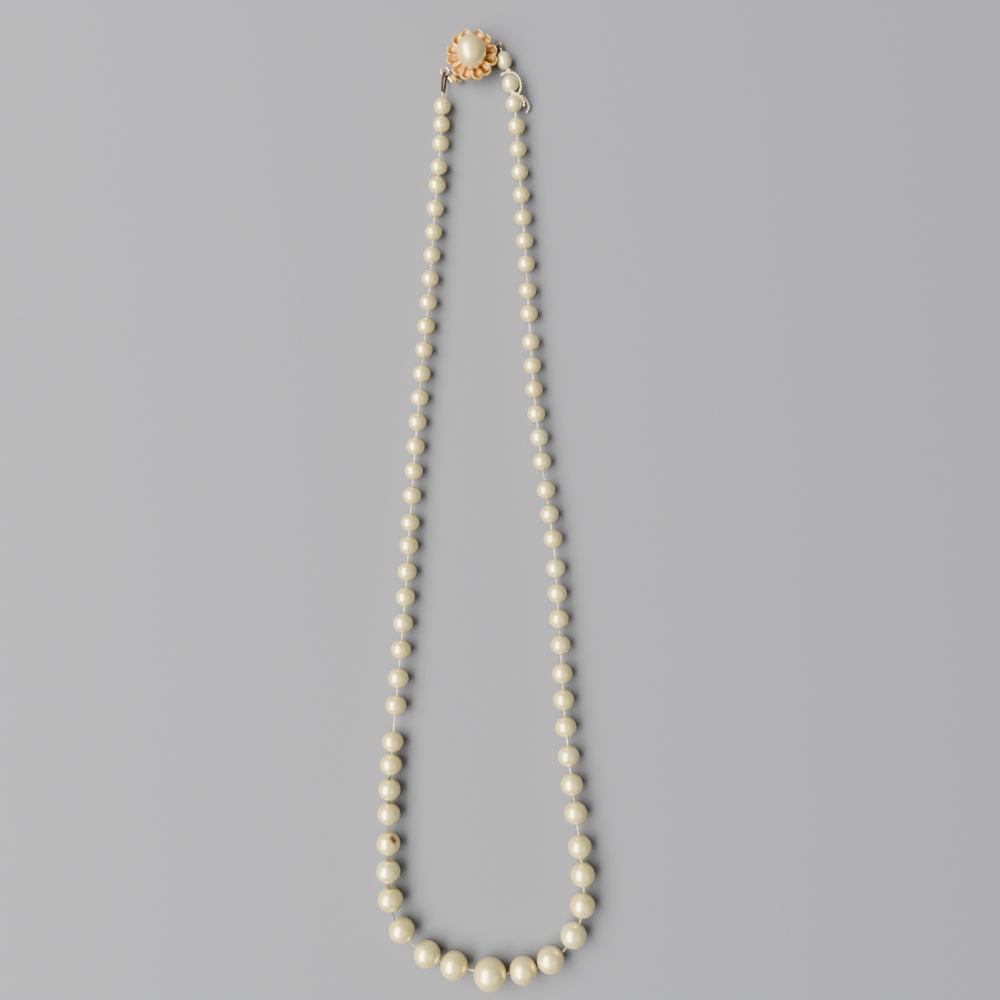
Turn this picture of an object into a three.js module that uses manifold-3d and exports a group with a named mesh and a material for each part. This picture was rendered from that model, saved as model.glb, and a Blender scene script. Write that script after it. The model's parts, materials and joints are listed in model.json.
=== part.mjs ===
// A graduated single-row pearl necklace laid flat, with a flower-shaped box clasp.
// Millimetres, +Z up. The necklace lies on Z = 0 with the clasp at +Y and the centre pearl at -Y.
import * as THREE from "three";
import { mergeVertices } from "three/addons/utils/BufferGeometryUtils.js";
import Module from "manifold-3d";

// ---- Pearls ----
const CENTRE_PEARL = 7.4; // diameter of the largest pearl
const END_PEARL = 3.7; // diameter that the pearls taper towards at the clasp
const TAPER_GAIN = 2.85; // how much bigger than END_PEARL the row would be at the centre
const TAPER_PEARLS = 10.5; // pearls over which that gain falls to about a third
const BORE = 1.0; // drilled hole, shown wide enough to keep clear of the silk
const COLLAR = 1.8; // knot-like collar that joins small pearls which turn together
const ARC_STEPS = 5; // bands from pole to pole of one pearl
const SMALL_SIDES = 8; // sides round a small pearl
const LARGE_SIDES = 12; // sides round a large pearl
const LARGE_FROM = 4.9; // diameter from which a pearl counts as large

// ---- Silk ----
const SILK = 0.4; // diameter of the doubled silk thread
const SILK_SIDES = 8;
const JOINT_GAP = 0.3; // space between two silk sections where the necklace bends

// ---- Lie of the two strands, from the centre pearl up to the clasp ring (x, y) ----
const LEFT_ROUTE = [
  [1.0, -103.16], [-7.0, -101.56], [-13.2, -99.16], [-18.9, -93.96], [-21.4, -86.76], [-21.7, -78.16],
  [-21.5, -62.16], [-20.4, -47.16], [-18.0, -20.16], [-16.2, 7.84], [-14.4, 29.84], [-12.7, 47.84],
  [-11.3, 67.84], [-10.1, 81.84], [-9.7, 90.84], [-9.2, 98.74],
];
const RIGHT_ROUTE = [
  [1.0, -103.16], [8.5, -102.76], [14.8, -100.46], [19.9, -94.96], [21.7, -88.16], [21.8, -81.16],
  [20.2, -68.16], [18.0, -50.16], [16.5, -26.16], [15.0, -5.16], [12.0, 14.84], [10.3, 33.84],
  [9.2, 53.84], [7.8, 72.84], [6.9, 86.84], [5.6, 95.64], [4.1, 100.74], [2.6, 104.54],
];
const ROUTE_STEPS = 12; // straight steps between two route points

// ---- Bare silk between neighbours ----
// Each strand has a usual gap, and the pearls named here have slid apart or together. The key is the
// pearl's number, counted from the clasp, and the value is the gap on its centre-pearl side.
const LEFT_GAP = 1.4;
const LEFT_GAPS = {
  35: 0.4, 34: 2.0, 33: 1.7, 32: 0.7, 31: 0.8, 29: 0.3, 28: 0.6, 27: 0.3, 26: 3.4, 24: 1.9, 20: 1.5,
  19: 0.9, 18: 1.9, 7: 1.3, 4: 0.3, 2: 0.5, 1: 0.3,
};
const RIGHT_GAP = 1.3;
const RIGHT_GAPS = {
  37: 0.6, 36: 0.5, 35: 1.8, 32: 0.9, 31: 2.3, 29: 1.4, 28: 1.7, 26: 1.3, 25: 1.8, 21: 2.3, 18: 2.3,
  15: 1.5, 12: 2.4, 10: 2.0, 2: 0.7, 1: 1.7,
};

// ---- How the strands are divided, from the clasp to the centre ----
// One row for each length of silk between two bends. Its numbers are the pearls in each turning group.
const LEFT_SECTIONS = [[3, 3], [3, 3], [3, 3], [3, 3, 2], [2, 2, 1, 1, 1], [1, 1, 1]];
const RIGHT_SECTIONS = [[1, 2, 3, 3, 3], [3, 3], [3, 3], [3, 2, 2], [2, 1, 1], [1, 1, 1]];

// ---- Clasp ----
const CLASP_CENTRE = [-3.1, 101.19];
const PLATE_RADIUS = 3.9;
const ROUND_SIDES = 32; // sides of the plate and the box
const PLATE_THICKNESS = 0.45;
const GAP = 0.3; // space between two pieces that touch on the real necklace
const BOX_RADIUS = 4.0;
const BOX_WALL = 0.4;
const BOX_TOP = 2.65;
const MOUTH_WIDTH = 3.3;
const CUT_PAST = 1; // how far a cutting solid runs past the metal that it cuts
const LOBES = 12;
const LOBE_CIRCLE = 4.42; // radius of the circle that the lobes' centres lie on
const LOBE_RADIUS = 1.42;
const DISH_RADIUS = 1.3;
const DISH_DEPTH = 0.75;
const LOBE_SIDES = 12;
const HUB_THICKNESS = 0.4; // of the disc that the lobes stand on
const HUB_SIDES = 24;
const ROSETTE_BOTTOM = BOX_TOP + GAP;
const ROSETTE_TOP = 4.2;
const PEARL_RADIUS = 3.25; // across the narrow way
const PEARL_LENGTH = 7.3; // along Y
const PEARL_CENTRE_Z = 5.6;
const PEARL_FLAT_Z = 3.6; // where the pearl is cut flat to seat in its cup
const CUP_RADIUS = 1.7;
const CUP_THICKNESS = 0.35;
const PEG_RADIUS = 0.35;
const PEG_SIDES = 8;
const CUP_SIDES = 16;
const PEG_TOP = 5.4;
const PEG_HOLE_RADIUS = 0.65;
const PEG_HOLE_TOP = 5.8;

// ---- Tongue, along its own X from the flower's centre, Y across ----
const TONGUE_HEADING = THREE.MathUtils.degToRad(219);
const TONGUE_INNER = -3.0;
const TONGUE_OUTER = 5.0;
const TONGUE_WIDTH = 2.6;
const TONGUE_THICKNESS = 0.3;
const TONGUE_Z = PLATE_THICKNESS + GAP;
const FOLD_HEIGHT = 0.95;
const FOLD_WIDTH = 2.0;
const LEAF_INNER = -2.4;
const LEAF_OUTER = 5.0;
const LEAF_WIDTH = 2.4;
const LEAF_THICKNESS = 0.22;
const LEAF_Z = 1.35;
const LEAF_RISE = THREE.MathUtils.degToRad(1.7);
const TAB_END = 7.2;
const TAB_SIDES = [0.2, 1.75];
const TAB_LIP = 0.5;

// ---- Rings and wire ----
const RING_RADIUS = 0.85; // centre of the wire
const RING_WIRE = 0.4;
const TONGUE_RING_AT = [6.3, -1.9];
const BOX_RING_AT = [5.7, 3.35];
const GUARD_RING_AT = [-2.95, -4.95];
const GUARD_RADIUS = 0.55;
const GUARD_WIRE = 0.3;
const GIMP = 0.5;
const TAIL = 0.3;
const KNOT_RADIUS = 0.4;
const SIDES_ROUND_WIRE = 8;
const STEPS_ROUND_RING = 16;
const WIRE_STEPS = 16; // straight steps along a gimp loop or the loose thread end
const GIMP_SPREAD = 0.8; // how far the two legs of a gimp loop part at the pearl, in wire diameters

const wasm = await Module();
wasm.setup();

const necklace = new THREE.Group();
necklace.name = "pearl_necklace";

const nacre = new THREE.MeshStandardMaterial({ color: 0xe9e2cd, roughness: 0.3, metalness: 0 });
const roseGold = new THREE.MeshStandardMaterial({ color: 0xd9a77e, roughness: 0.3, metalness: 1 });
const darkGold = new THREE.MeshStandardMaterial({ color: 0x8a6a46, roughness: 0.5, metalness: 1 });
const silk = new THREE.MeshStandardMaterial({ color: 0xe6ddc6, roughness: 0.8, metalness: 0 });

function addMesh(parent, name, geometry, material) {
  const mesh = new THREE.Mesh(geometry, material);
  mesh.name = name;
  parent.add(mesh);
  return mesh;
}

// ---- Solids that are cut or joined ----

function solidFrom(geometry, matrix = new THREE.Matrix4()) {
  const bare = (geometry.index ? geometry.toNonIndexed() : geometry.clone()).applyMatrix4(matrix);
  bare.deleteAttribute("normal");
  bare.deleteAttribute("uv");
  const merged = mergeVertices(bare, 1e-4);
  return new wasm.Manifold(
    new wasm.Mesh({
      numProp: 3,
      vertProperties: merged.attributes.position.array,
      triVerts: new Uint32Array(merged.index.array),
    }),
  );
}

function geometryOf(solid) {
  const { vertProperties, triVerts } = solid.getMesh();
  const geometry = new THREE.BufferGeometry();
  geometry.setAttribute("position", new THREE.BufferAttribute(vertProperties, 3));
  geometry.setIndex(new THREE.BufferAttribute(triVerts, 1));
  return geometry;
}

function moved(x, y, z) {
  return new THREE.Matrix4().makeTranslation(x, y, z);
}

// A cylinder that stands along Z from low to high.
function post(radius, low, high, sides, x = 0, y = 0) {
  const upright = new THREE.CylinderGeometry(radius, radius, high - low, sides).rotateX(Math.PI / 2);
  return solidFrom(upright, moved(x, y, (low + high) / 2));
}

function block(x0, x1, y0, y1, z0, z1) {
  const box = new THREE.BoxGeometry(x1 - x0, y1 - y0, z1 - z0);
  return solidFrom(box, moved((x0 + x1) / 2, (y0 + y1) / 2, (z0 + z1) / 2));
}

function ball(radius, x, y, z, wide = 20, high = 12) {
  return solidFrom(new THREE.SphereGeometry(radius, wide, high), moved(x, y, z));
}

// ---- Tubes ----

// A path that keeps each of its points, so that a tube's rings fall exactly on them.
class PointPath extends THREE.Curve {
  constructor(points) {
    super();
    this.points = points;
  }
  getPoint(t, target = new THREE.Vector3()) {
    const along = Math.min(Math.max(t, 0), 1) * (this.points.length - 1);
    const from = Math.min(Math.floor(along), this.points.length - 2);
    return target.lerpVectors(this.points[from], this.points[from + 1], along - from);
  }
  getPointAt(u, target) {
    return this.getPoint(u, target);
  }
  getTangentAt(u, target) {
    return this.getTangent(u, target);
  }
}

function circle(radius, sides) {
  const shape = new THREE.Shape();
  for (let i = 0; i < sides; i++) {
    const angle = (2 * Math.PI * i) / sides;
    const [x, y] = [radius * Math.cos(angle), radius * Math.sin(angle)];
    if (i) shape.lineTo(x, y);
    else shape.moveTo(x, y);
  }
  shape.closePath();
  return shape;
}

function tube(points, diameter, sides = SIDES_ROUND_WIRE) {
  return new THREE.ExtrudeGeometry(circle(diameter / 2, sides), {
    extrudePath: new PointPath(points),
    steps: points.length - 1,
    curveSegments: 1,
    bevelEnabled: false,
  });
}

// A smooth run of wire through a few points chosen by hand.
function wire(points, diameter, steps) {
  const curve = new THREE.CatmullRomCurve3(points.map((p) => new THREE.Vector3(...p)));
  return tube(curve.getSpacedPoints(steps), diameter);
}

function ring(x, y, z, radius = RING_RADIUS, wireWidth = RING_WIRE) {
  const torus = new THREE.TorusGeometry(radius, wireWidth / 2, SIDES_ROUND_WIRE, STEPS_ROUND_RING);
  return solidFrom(torus, moved(x, y, z));
}

// ---- Strands ----

function pearlDiameter(stepsFromCentre) {
  if (stepsFromCentre === 0) return CENTRE_PEARL;
  return END_PEARL + TAPER_GAIN * Math.exp(-stepsFromCentre / TAPER_PEARLS);
}

// The route as close straight steps through its points, by the usual Catmull-Rom rule.
function smoothRoute(points) {
  const line = [];
  for (let i = 0; i + 1 < points.length; i++) {
    const [p0, p1] = [points[Math.max(i - 1, 0)], points[i]];
    const [p2, p3] = [points[i + 1], points[Math.min(i + 2, points.length - 1)]];
    for (let k = 0; k < ROUTE_STEPS; k++) {
      const t = k / ROUTE_STEPS;
      line.push(
        new THREE.Vector2(
          ...[0, 1].map(
            (a) =>
              0.5 *
              (2 * p1[a] +
                (p2[a] - p0[a]) * t +
                (2 * p0[a] - 5 * p1[a] + 4 * p2[a] - p3[a]) * t * t +
                (3 * p1[a] - p0[a] - 3 * p2[a] + p3[a]) * t * t * t),
          ),
        ),
      );
    }
  }
  line.push(new THREE.Vector2(...points.at(-1)));
  return line;
}

function pointOnRoute(line, distance) {
  let left = distance;
  for (let i = 0; i + 1 < line.length; i++) {
    const length = line[i].distanceTo(line[i + 1]);
    if (left <= length) return line[i].clone().lerp(line[i + 1], left / length);
    left -= length;
  }
  return line.at(-1).clone();
}

// Every pearl of a strand, from the clasp to the centre: its number, radius and distance from the
// centre pearl along the route.
function pearlsOf(count, usualGap, gaps) {
  const pearls = [{ number: count + 1, radius: CENTRE_PEARL / 2, along: 0 }];
  for (let number = count; number >= 1; number--) {
    const last = pearls.at(-1);
    const radius = pearlDiameter(count + 1 - number) / 2;
    const along = last.along + last.radius + (gaps[number] ?? usualGap) + radius;
    pearls.push({ number, radius, along });
  }
  return pearls.reverse();
}

// A turning group lies on a straight axis between the points where its end pearls meet the route.
function placeGroup(line, pearls) {
  const [first, last] = [pearls[0], pearls.at(-1)];
  const from = pointOnRoute(line, first.along + first.radius);
  const to = pointOnRoute(line, last.along - last.radius);
  const start = new THREE.Vector3(from.x, from.y, first.radius);
  const end = new THREE.Vector3(to.x, to.y, last.radius);
  const axis = end.clone().sub(start).normalize();
  return { pearls, start, end, axis };
}

// Outline of a drilled group in (radius, distance along its axis from its start).
function groupProfile(pearls) {
  const [bore, collar] = [BORE / 2, COLLAR / 2];
  const outline = [];
  pearls.forEach((pearl, i) => {
    const middle = pearls[0].along + pearls[0].radius - pearl.along;
    const entry = Math.asin((i ? collar : bore) / pearl.radius);
    const leave = Math.PI - Math.asin((i + 1 < pearls.length ? collar : bore) / pearl.radius);
    for (let k = 0; k <= ARC_STEPS; k++) {
      const angle = entry + ((leave - entry) * k) / ARC_STEPS;
      const radius = pearl.radius * Math.sin(angle);
      outline.push(new THREE.Vector2(radius, middle - pearl.radius * Math.cos(angle)));
    }
  });
  outline.push(outline[0].clone());
  return outline;
}

function groupName(side, pearls) {
  if (pearls[0].along === 0) return "pearl_centre";
  const numbers = [pearls[0].number, pearls.at(-1).number];
  const label = [...new Set(numbers)].map((n) => String(n).padStart(2, "0")).join("_");
  return `${pearls.length > 1 ? "pearls" : "pearl"}_${side}_${label}`;
}

function addGroup(name, { pearls, start, axis }) {
  const sides = 2 * pearls[0].radius < LARGE_FROM ? SMALL_SIDES : LARGE_SIDES;
  const geometry = new THREE.LatheGeometry(groupProfile(pearls), sides);
  const mesh = addMesh(necklace, name, geometry, nacre);
  const up = new THREE.Vector3(0, 0, 1).addScaledVector(axis, -axis.z).normalize();
  const across = new THREE.Vector3().crossVectors(axis, up);
  mesh.applyMatrix4(new THREE.Matrix4().makeBasis(across, axis, up).setPosition(start));
}

// The whole strand: its pearls in turning groups, and one silk section between each two bends.
function addStrand(side, route, sections, pearls) {
  const line = smoothRoute(route);
  const placed = [];
  let next = 0;
  for (const sizes of sections) {
    placed.push(
      sizes.map((size) => {
        const group = pearls.slice(next, next + size);
        next += size;
        return placeGroup(line, group);
      }),
    );
  }
  placed.forEach((groups, i) => {
    const points = groups.flatMap(({ start, end }) => [start, end]);
    const before = i ? placed[i - 1].at(-1).end : null;
    const after = i + 1 < placed.length ? placed[i + 1][0].start : null;
    if (before) points.unshift(bendPoint(before, groups[0].start, JOINT_GAP / 2));
    if (after) points.push(bendPoint(after, groups.at(-1).end, JOINT_GAP / 2));
    addMesh(necklace, `silk_${side}_${i + 1}`, tube(points, SILK, SILK_SIDES), silk);
    groups.forEach((group) => addGroup(groupName(side, group.pearls), group));
  });
  return placed;
}

// The point a little past the middle of the gap between two pearls, on the second one's side.
function bendPoint(from, to, past) {
  const middle = from.clone().lerp(to, 0.5);
  return middle.addScaledVector(to.clone().sub(from).normalize(), past);
}

const leftPearls = pearlsOf(36, LEFT_GAP, LEFT_GAPS).slice(0, -1);
const rightPearls = pearlsOf(37, RIGHT_GAP, RIGHT_GAPS);
const leftPlaced = addStrand("left", LEFT_ROUTE, LEFT_SECTIONS, leftPearls);
const rightPlaced = addStrand("right", RIGHT_ROUTE, RIGHT_SECTIONS, rightPearls);

// ---- Clasp box and flower ----

const clasp = new THREE.Group();
clasp.position.set(...CLASP_CENTRE, 0);
necklace.add(clasp);

function addClaspBox() {
  const plate = post(PLATE_RADIUS, 0, PLATE_THICKNESS, ROUND_SIDES);
  addMesh(clasp, "clasp_back_plate", geometryOf(plate), roseGold);
  const ceiling = BOX_TOP - BOX_WALL;
  const inside = post(BOX_RADIUS - BOX_WALL, TONGUE_Z - CUT_PAST, ceiling, ROUND_SIDES);
  const turn = new THREE.Matrix4().makeRotationZ(TONGUE_HEADING);
  const reach = BOX_RADIUS + CUT_PAST;
  const opening = new THREE.BoxGeometry(reach, MOUTH_WIDTH, 2 * ceiling);
  const mouth = solidFrom(opening.translate(reach / 2, 0, 0), turn);
  const box = post(BOX_RADIUS, TONGUE_Z, BOX_TOP, ROUND_SIDES).subtract(inside).subtract(mouth);
  addMesh(clasp, "clasp_box", geometryOf(box), roseGold);
}

function addRosette() {
  let flower = post(LOBE_CIRCLE, ROSETTE_BOTTOM, ROSETTE_BOTTOM + HUB_THICKNESS, HUB_SIDES);
  const lobes = Array.from({ length: LOBES }, (_, i) => {
    const angle = (2 * Math.PI * (i + 0.5)) / LOBES;
    return [LOBE_CIRCLE * Math.cos(angle), LOBE_CIRCLE * Math.sin(angle)];
  });
  for (const [x, y] of lobes)
    flower = flower.add(post(LOBE_RADIUS, ROSETTE_BOTTOM, ROSETTE_TOP, LOBE_SIDES, x, y));
  // A ball of this radius cuts a dish that is DISH_DEPTH deep and DISH_RADIUS wide at the top.
  const dishBall = (DISH_RADIUS ** 2 + DISH_DEPTH ** 2) / (2 * DISH_DEPTH);
  for (const [x, y] of lobes)
    flower = flower.subtract(ball(dishBall, x, y, ROSETTE_TOP - DISH_DEPTH + dishBall, 12, 10));
  const seat = new THREE.SphereGeometry(1, 24, 16).scale(
    PEARL_RADIUS + GAP,
    PEARL_LENGTH / 2 + GAP,
    PEARL_RADIUS + GAP,
  );
  flower = flower.subtract(solidFrom(seat, moved(0, 0, PEARL_CENTRE_Z)));
  flower = flower.subtract(post(CUP_RADIUS + GAP, 0, ROSETTE_TOP, HUB_SIDES));
  addMesh(clasp, "flower_rosette", geometryOf(flower), roseGold);
}

function addSetPearl() {
  const cup = post(CUP_RADIUS, ROSETTE_BOTTOM, ROSETTE_BOTTOM + CUP_THICKNESS, CUP_SIDES);
  const peg = post(PEG_RADIUS, ROSETTE_BOTTOM + CUP_THICKNESS / 2, PEG_TOP, PEG_SIDES);
  addMesh(clasp, "pearl_cup", geometryOf(cup.add(peg)), roseGold);
  const egg = new THREE.SphereGeometry(1, 20, 14).scale(PEARL_RADIUS, PEARL_LENGTH / 2, PEARL_RADIUS);
  const pearl = solidFrom(egg, moved(0, 0, PEARL_CENTRE_Z))
    .subtract(block(-PEARL_LENGTH, PEARL_LENGTH, -PEARL_LENGTH, PEARL_LENGTH, 0, PEARL_FLAT_Z))
    .subtract(post(PEG_HOLE_RADIUS, 0, PEG_HOLE_TOP, PEG_SIDES));
  addMesh(clasp, "clasp_pearl", geometryOf(pearl), nacre);
}

// A ring soldered to the box by a short stem.
function addStemRing(name, [x, y], radius, wireWidth) {
  const z = TONGUE_Z + wireWidth;
  const reach = Math.hypot(x, y);
  const [inner, outer] = [BOX_RADIUS + GAP, reach - radius];
  const stem = new THREE.CylinderGeometry(wireWidth / 2, wireWidth / 2, outer - inner, SIDES_ROUND_WIRE)
    .rotateZ(Math.PI / 2)
    .translate((inner + outer) / 2, 0, z);
  const turn = new THREE.Matrix4().makeRotationZ(Math.atan2(y, x));
  const joined = ring(x, y, z, radius, wireWidth).add(solidFrom(stem, turn));
  addMesh(clasp, name, geometryOf(joined), darkGold);
}

addClaspBox();
addRosette();
addSetPearl();
addStemRing("box_ring", BOX_RING_AT, RING_RADIUS, RING_WIRE);
addStemRing("guard_ring", GUARD_RING_AT, GUARD_RADIUS, GUARD_WIRE);

// ---- Tongue ----

const tongue = new THREE.Group();
tongue.rotation.z = TONGUE_HEADING;
clasp.add(tongue);

function addTongue() {
  const [half, top] = [TONGUE_WIDTH / 2, TONGUE_Z + TONGUE_THICKNESS];
  const strip = block(TONGUE_INNER, TONGUE_OUTER, -half, half, TONGUE_Z, top);
  const foldEnd = TONGUE_INNER + TONGUE_THICKNESS;
  const foldTop = TONGUE_Z + FOLD_HEIGHT;
  const fold = block(TONGUE_INNER, foldEnd, -FOLD_WIDTH / 2, FOLD_WIDTH / 2, TONGUE_Z, foldTop);
  addMesh(tongue, "tongue_base", geometryOf(strip.add(fold)), roseGold);
  const ringZ = TONGUE_Z + RING_WIRE / 2;
  addMesh(tongue, "tongue_ring", geometryOf(ring(...TONGUE_RING_AT, ringZ)), roseGold);
}

function addLeaf() {
  const thick = LEAF_THICKNESS;
  const [tabLow, tabHigh] = TAB_SIDES;
  const blade = block(0, LEAF_OUTER - LEAF_INNER, -LEAF_WIDTH / 2, LEAF_WIDTH / 2, 0, thick);
  const tabOuter = TAB_END - LEAF_INNER;
  const tab = block(LEAF_OUTER - LEAF_INNER - thick, tabOuter, tabLow, tabHigh, 0, thick);
  const lip = block(tabOuter - thick, tabOuter, tabLow, tabHigh, 0, TAB_LIP);
  const leaf = addMesh(tongue, "tongue_spring", geometryOf(blade.add(tab).add(lip)), roseGold);
  leaf.position.set(LEAF_INNER, 0, LEAF_Z);
  leaf.rotation.y = -LEAF_RISE;
}

addTongue();
addLeaf();

// ---- Gimp loops, knot and loose thread end ----

// A wire loop that comes from the first pearl's hole, goes over the ring, down through it and back.
function addGimp(name, ringAt, ringZ, hole) {
  const away = new THREE.Vector3(hole.x - ringAt.x, hole.y - ringAt.y, 0);
  const reach = away.length() - 2 * GAP;
  away.normalize();
  const at = (distance, z) => [ringAt.x + away.x * distance, ringAt.y + away.y * distance, z];
  const edge = RING_RADIUS + RING_WIRE / 2;
  const clear = RING_WIRE / 2 + GAP + GIMP / 2;
  const points = [
    at(reach, hole.z + GIMP * GIMP_SPREAD),
    at(edge, ringZ + clear + 0.1),
    at(RING_RADIUS * 0.6, ringZ + clear),
    at(0, ringZ),
    at(RING_RADIUS * 0.7, Math.max(ringZ - clear, GIMP / 2)),
    at(edge, Math.max(ringZ - clear, GIMP / 2)),
    at(reach, hole.z - GIMP * GIMP_SPREAD),
  ];
  addMesh(necklace, name, wire(points, GIMP, WIRE_STEPS), darkGold);
}

function onNecklace(group, [x, y]) {
  necklace.updateMatrixWorld(true);
  return group.localToWorld(new THREE.Vector3(x, y, 0));
}

addGimp("gimp_left", onNecklace(tongue, TONGUE_RING_AT), TONGUE_Z + RING_WIRE / 2, leftPlaced[0][0].start);
addGimp("gimp_right", onNecklace(clasp, BOX_RING_AT), TONGUE_Z + RING_WIRE, rightPlaced[0][0].start);

// The knot is tied on the silk between the first two pearls of the right strand, and its loose end
// curls round the second pearl and comes to rest beside the third.
function addTail() {
  const knotAt = bendPoint(rightPlaced[0][0].end, rightPlaced[0][1].start, 0);
  const clearSilk = SILK / 2 + GAP;
  const points = [
    [knotAt.x + clearSilk + 0.2, knotAt.y + 0.1, knotAt.z],
    [knotAt.x + 1.4, knotAt.y + 0.2, knotAt.z - 0.2],
    [7.5, 96.34, 1.1],
    [8.3, 94.54, 0.6],
    [8.5, 92.94, 0.4],
    [8.9, 91.44, 0.5],
    [9.3, 89.94, 0.3],
    [10.2, 88.94, 0.2],
  ];
  const loose = solidFrom(wire(points, TAIL, WIRE_STEPS));
  const lump = ball(KNOT_RADIUS, points[0][0] + KNOT_RADIUS / 2, points[0][1], points[0][2], 10, 8);
  addMesh(necklace, "knot_and_tail", geometryOf(loose.add(lump)), silk);
}

addTail();

export default necklace;
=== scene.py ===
"""Looks of a graduated pearl necklace with a flower box clasp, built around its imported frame."""
import json
import math
import random

import bmesh
import bpy
from mathutils import Matrix, Vector, noise

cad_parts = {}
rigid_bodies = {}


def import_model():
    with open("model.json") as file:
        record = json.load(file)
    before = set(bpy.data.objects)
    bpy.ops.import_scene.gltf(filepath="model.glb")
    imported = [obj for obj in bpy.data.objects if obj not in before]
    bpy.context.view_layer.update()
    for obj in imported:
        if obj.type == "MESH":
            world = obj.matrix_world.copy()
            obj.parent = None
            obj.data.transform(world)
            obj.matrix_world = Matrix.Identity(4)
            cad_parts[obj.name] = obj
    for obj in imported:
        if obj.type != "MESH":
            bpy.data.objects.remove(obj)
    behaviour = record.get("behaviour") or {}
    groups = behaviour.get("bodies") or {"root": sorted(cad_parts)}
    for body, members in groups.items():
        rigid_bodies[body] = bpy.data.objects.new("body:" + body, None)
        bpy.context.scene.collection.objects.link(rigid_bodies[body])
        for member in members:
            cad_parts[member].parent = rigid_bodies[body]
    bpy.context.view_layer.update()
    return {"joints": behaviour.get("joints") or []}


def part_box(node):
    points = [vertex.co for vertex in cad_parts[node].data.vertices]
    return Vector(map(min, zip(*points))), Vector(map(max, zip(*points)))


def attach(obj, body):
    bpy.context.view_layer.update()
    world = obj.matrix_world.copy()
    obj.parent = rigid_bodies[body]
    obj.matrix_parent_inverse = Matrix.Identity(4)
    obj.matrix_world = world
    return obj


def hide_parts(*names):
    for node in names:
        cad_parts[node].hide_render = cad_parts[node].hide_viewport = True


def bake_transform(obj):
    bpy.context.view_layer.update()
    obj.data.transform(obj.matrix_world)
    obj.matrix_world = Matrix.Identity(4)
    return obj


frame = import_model()

bl_info = {
    "name": "Pearl Necklace",
    "version": (1, 0, 0),
    "blender": (4, 5, 0),
    "location": "View3D > Sidebar > Necklace",
    "description": "Builds a graduated pearl necklace with a flower box clasp",
    "category": "Object",
}

MM = 0.001
JOINTS = {joint["name"]: joint for joint in frame["joints"]}
SIDES = ("left", "right")
PEARLS_ON = {"left": 36, "right": 37}
SECTIONS = 6  # lengths of silk on each side
SEED = 7
SAME_PLACE = 1e-8  # points nearer than this, in metres, are one point
CORNER_STEPS = 4

# Bare silk between neighbours inside a turning group, in metres. The key is the pearl's number
# counted from the clasp, and the gap is on its centre-pearl side.
USUAL_GAP = {"left": 0.0014, "right": 0.0013}
GAPS = {
    "left": {29: 0.0003, 27: 0.0003, 20: 0.0015, 19: 0.0009, 7: 0.0013, 4: 0.0003, 2: 0.0005, 1: 0.0003},
    "right": {32: 0.0009, 28: 0.0017, 25: 0.0018, 10: 0.0020, 2: 0.0007},
}


# ---------------------------------------------------------------------------------------------
# Settings
# ---------------------------------------------------------------------------------------------

def length_property(name, description, default):
    return bpy.props.FloatProperty(
        name=name, description=description, default=default, unit="LENGTH", subtype="DISTANCE",
        precision=5,
    )


def colour_property(name, description, default):
    return bpy.props.StringProperty(name=name, description=description + ", sRGB hex", default=default)


class PearlSettings(bpy.types.PropertyGroup):
    centre: length_property("Centre pearl", "Diameter of the largest pearl", 0.0074)
    end: length_property("End pearls", "Diameter that the pearls taper towards", 0.0037)
    gain: length_property("Taper gain", "How much bigger than that the row is at the centre", 0.00285)
    taper: bpy.props.FloatProperty(
        name="Taper", description="Pearls over which the gain falls to about a third", default=10.5)
    bore: length_property("Drilled hole", "Diameter of the drilled hole", 0.00076)
    cream: colour_property("Body colour", "Nacre of most of the pearls", "#E4D281")
    gold: colour_property("Golden colour", "Nacre of the deeper toned pearls", "#DCB660")
    green: colour_property("Green colour", "Nacre with a cool overtone", "#DCDB98")
    rose: colour_property("Rose colour", "Nacre with a pink overtone", "#E7D08B")
    # Colour of the brown stain, also used for the dark marks round some drill holes.
    stain: colour_property("Stain", "Brown marks and grime in the drill holes", "#7A2E08")


class SilkSettings(bpy.types.PropertyGroup):
    diameter: length_property("Silk", "Diameter of the doubled silk thread", 0.00042)
    pitch: length_property("Twist", "Length of one turn of the twisted silk", 0.0013)
    colour: colour_property("Silk colour", "Cream stringing silk", "#F1DFAE")
    shade: colour_property("Silk shade", "Silk in the hollows of the twist", "#CDB684")
    soil: colour_property("Soil", "Silk that has soaked up dirt and skin oil", "#4A3420")


class ClaspSettings(bpy.types.PropertyGroup):
    gold: colour_property("Rose gold", "Nine carat rose gold, worn bright", "#F6D588")
    # Brown tarnish in random blotches, and on the flower painted shade in its hollows and under its edge.
    patina_and_shade: colour_property("Patina", "Brown tarnish in the hollows of the gold", "#B87E36")
    tarnish: colour_property("Tarnish", "Dark tarnish on the wire rings and the gimp", "#6E5038")
    pale: colour_property("Pale gold", "Yellower gold of the wire rings", "#EBD09C")
    # The gimp's darkest colour, towards which its random blotches turn.
    gimp_darkest: colour_property("Grime", "Dirt between the turns of the gimp", "#1F150F")


class StageSettings(bpy.types.PropertyGroup):
    height: length_property("Camera height", "Height of the camera over the floor", 0.2439)
    lens: bpy.props.FloatProperty(name="Lens", description="Focal length in mm", default=38.9)
    floor: colour_property("Floor", "Plain pale floor", "#6F6F71")


def settings(name):
    return getattr(bpy.context.scene, name)


# ---------------------------------------------------------------------------------------------
# Small helpers
# ---------------------------------------------------------------------------------------------

def linear(hex_colour):
    """An sRGB hex colour as linear RGBA."""
    channels = [int(hex_colour[i : i + 2], 16) / 255 for i in (1, 3, 5)]
    return tuple(c / 12.92 if c <= 0.04045 else ((c + 0.055) / 1.055) ** 2.4 for c in channels) + (1.0,)


def per_mm(size):
    """The noise scale that gives features about size millimetres across."""
    return 1 / (size * MM)


def grey(value):
    return (value, value, value, 1.0)


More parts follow.
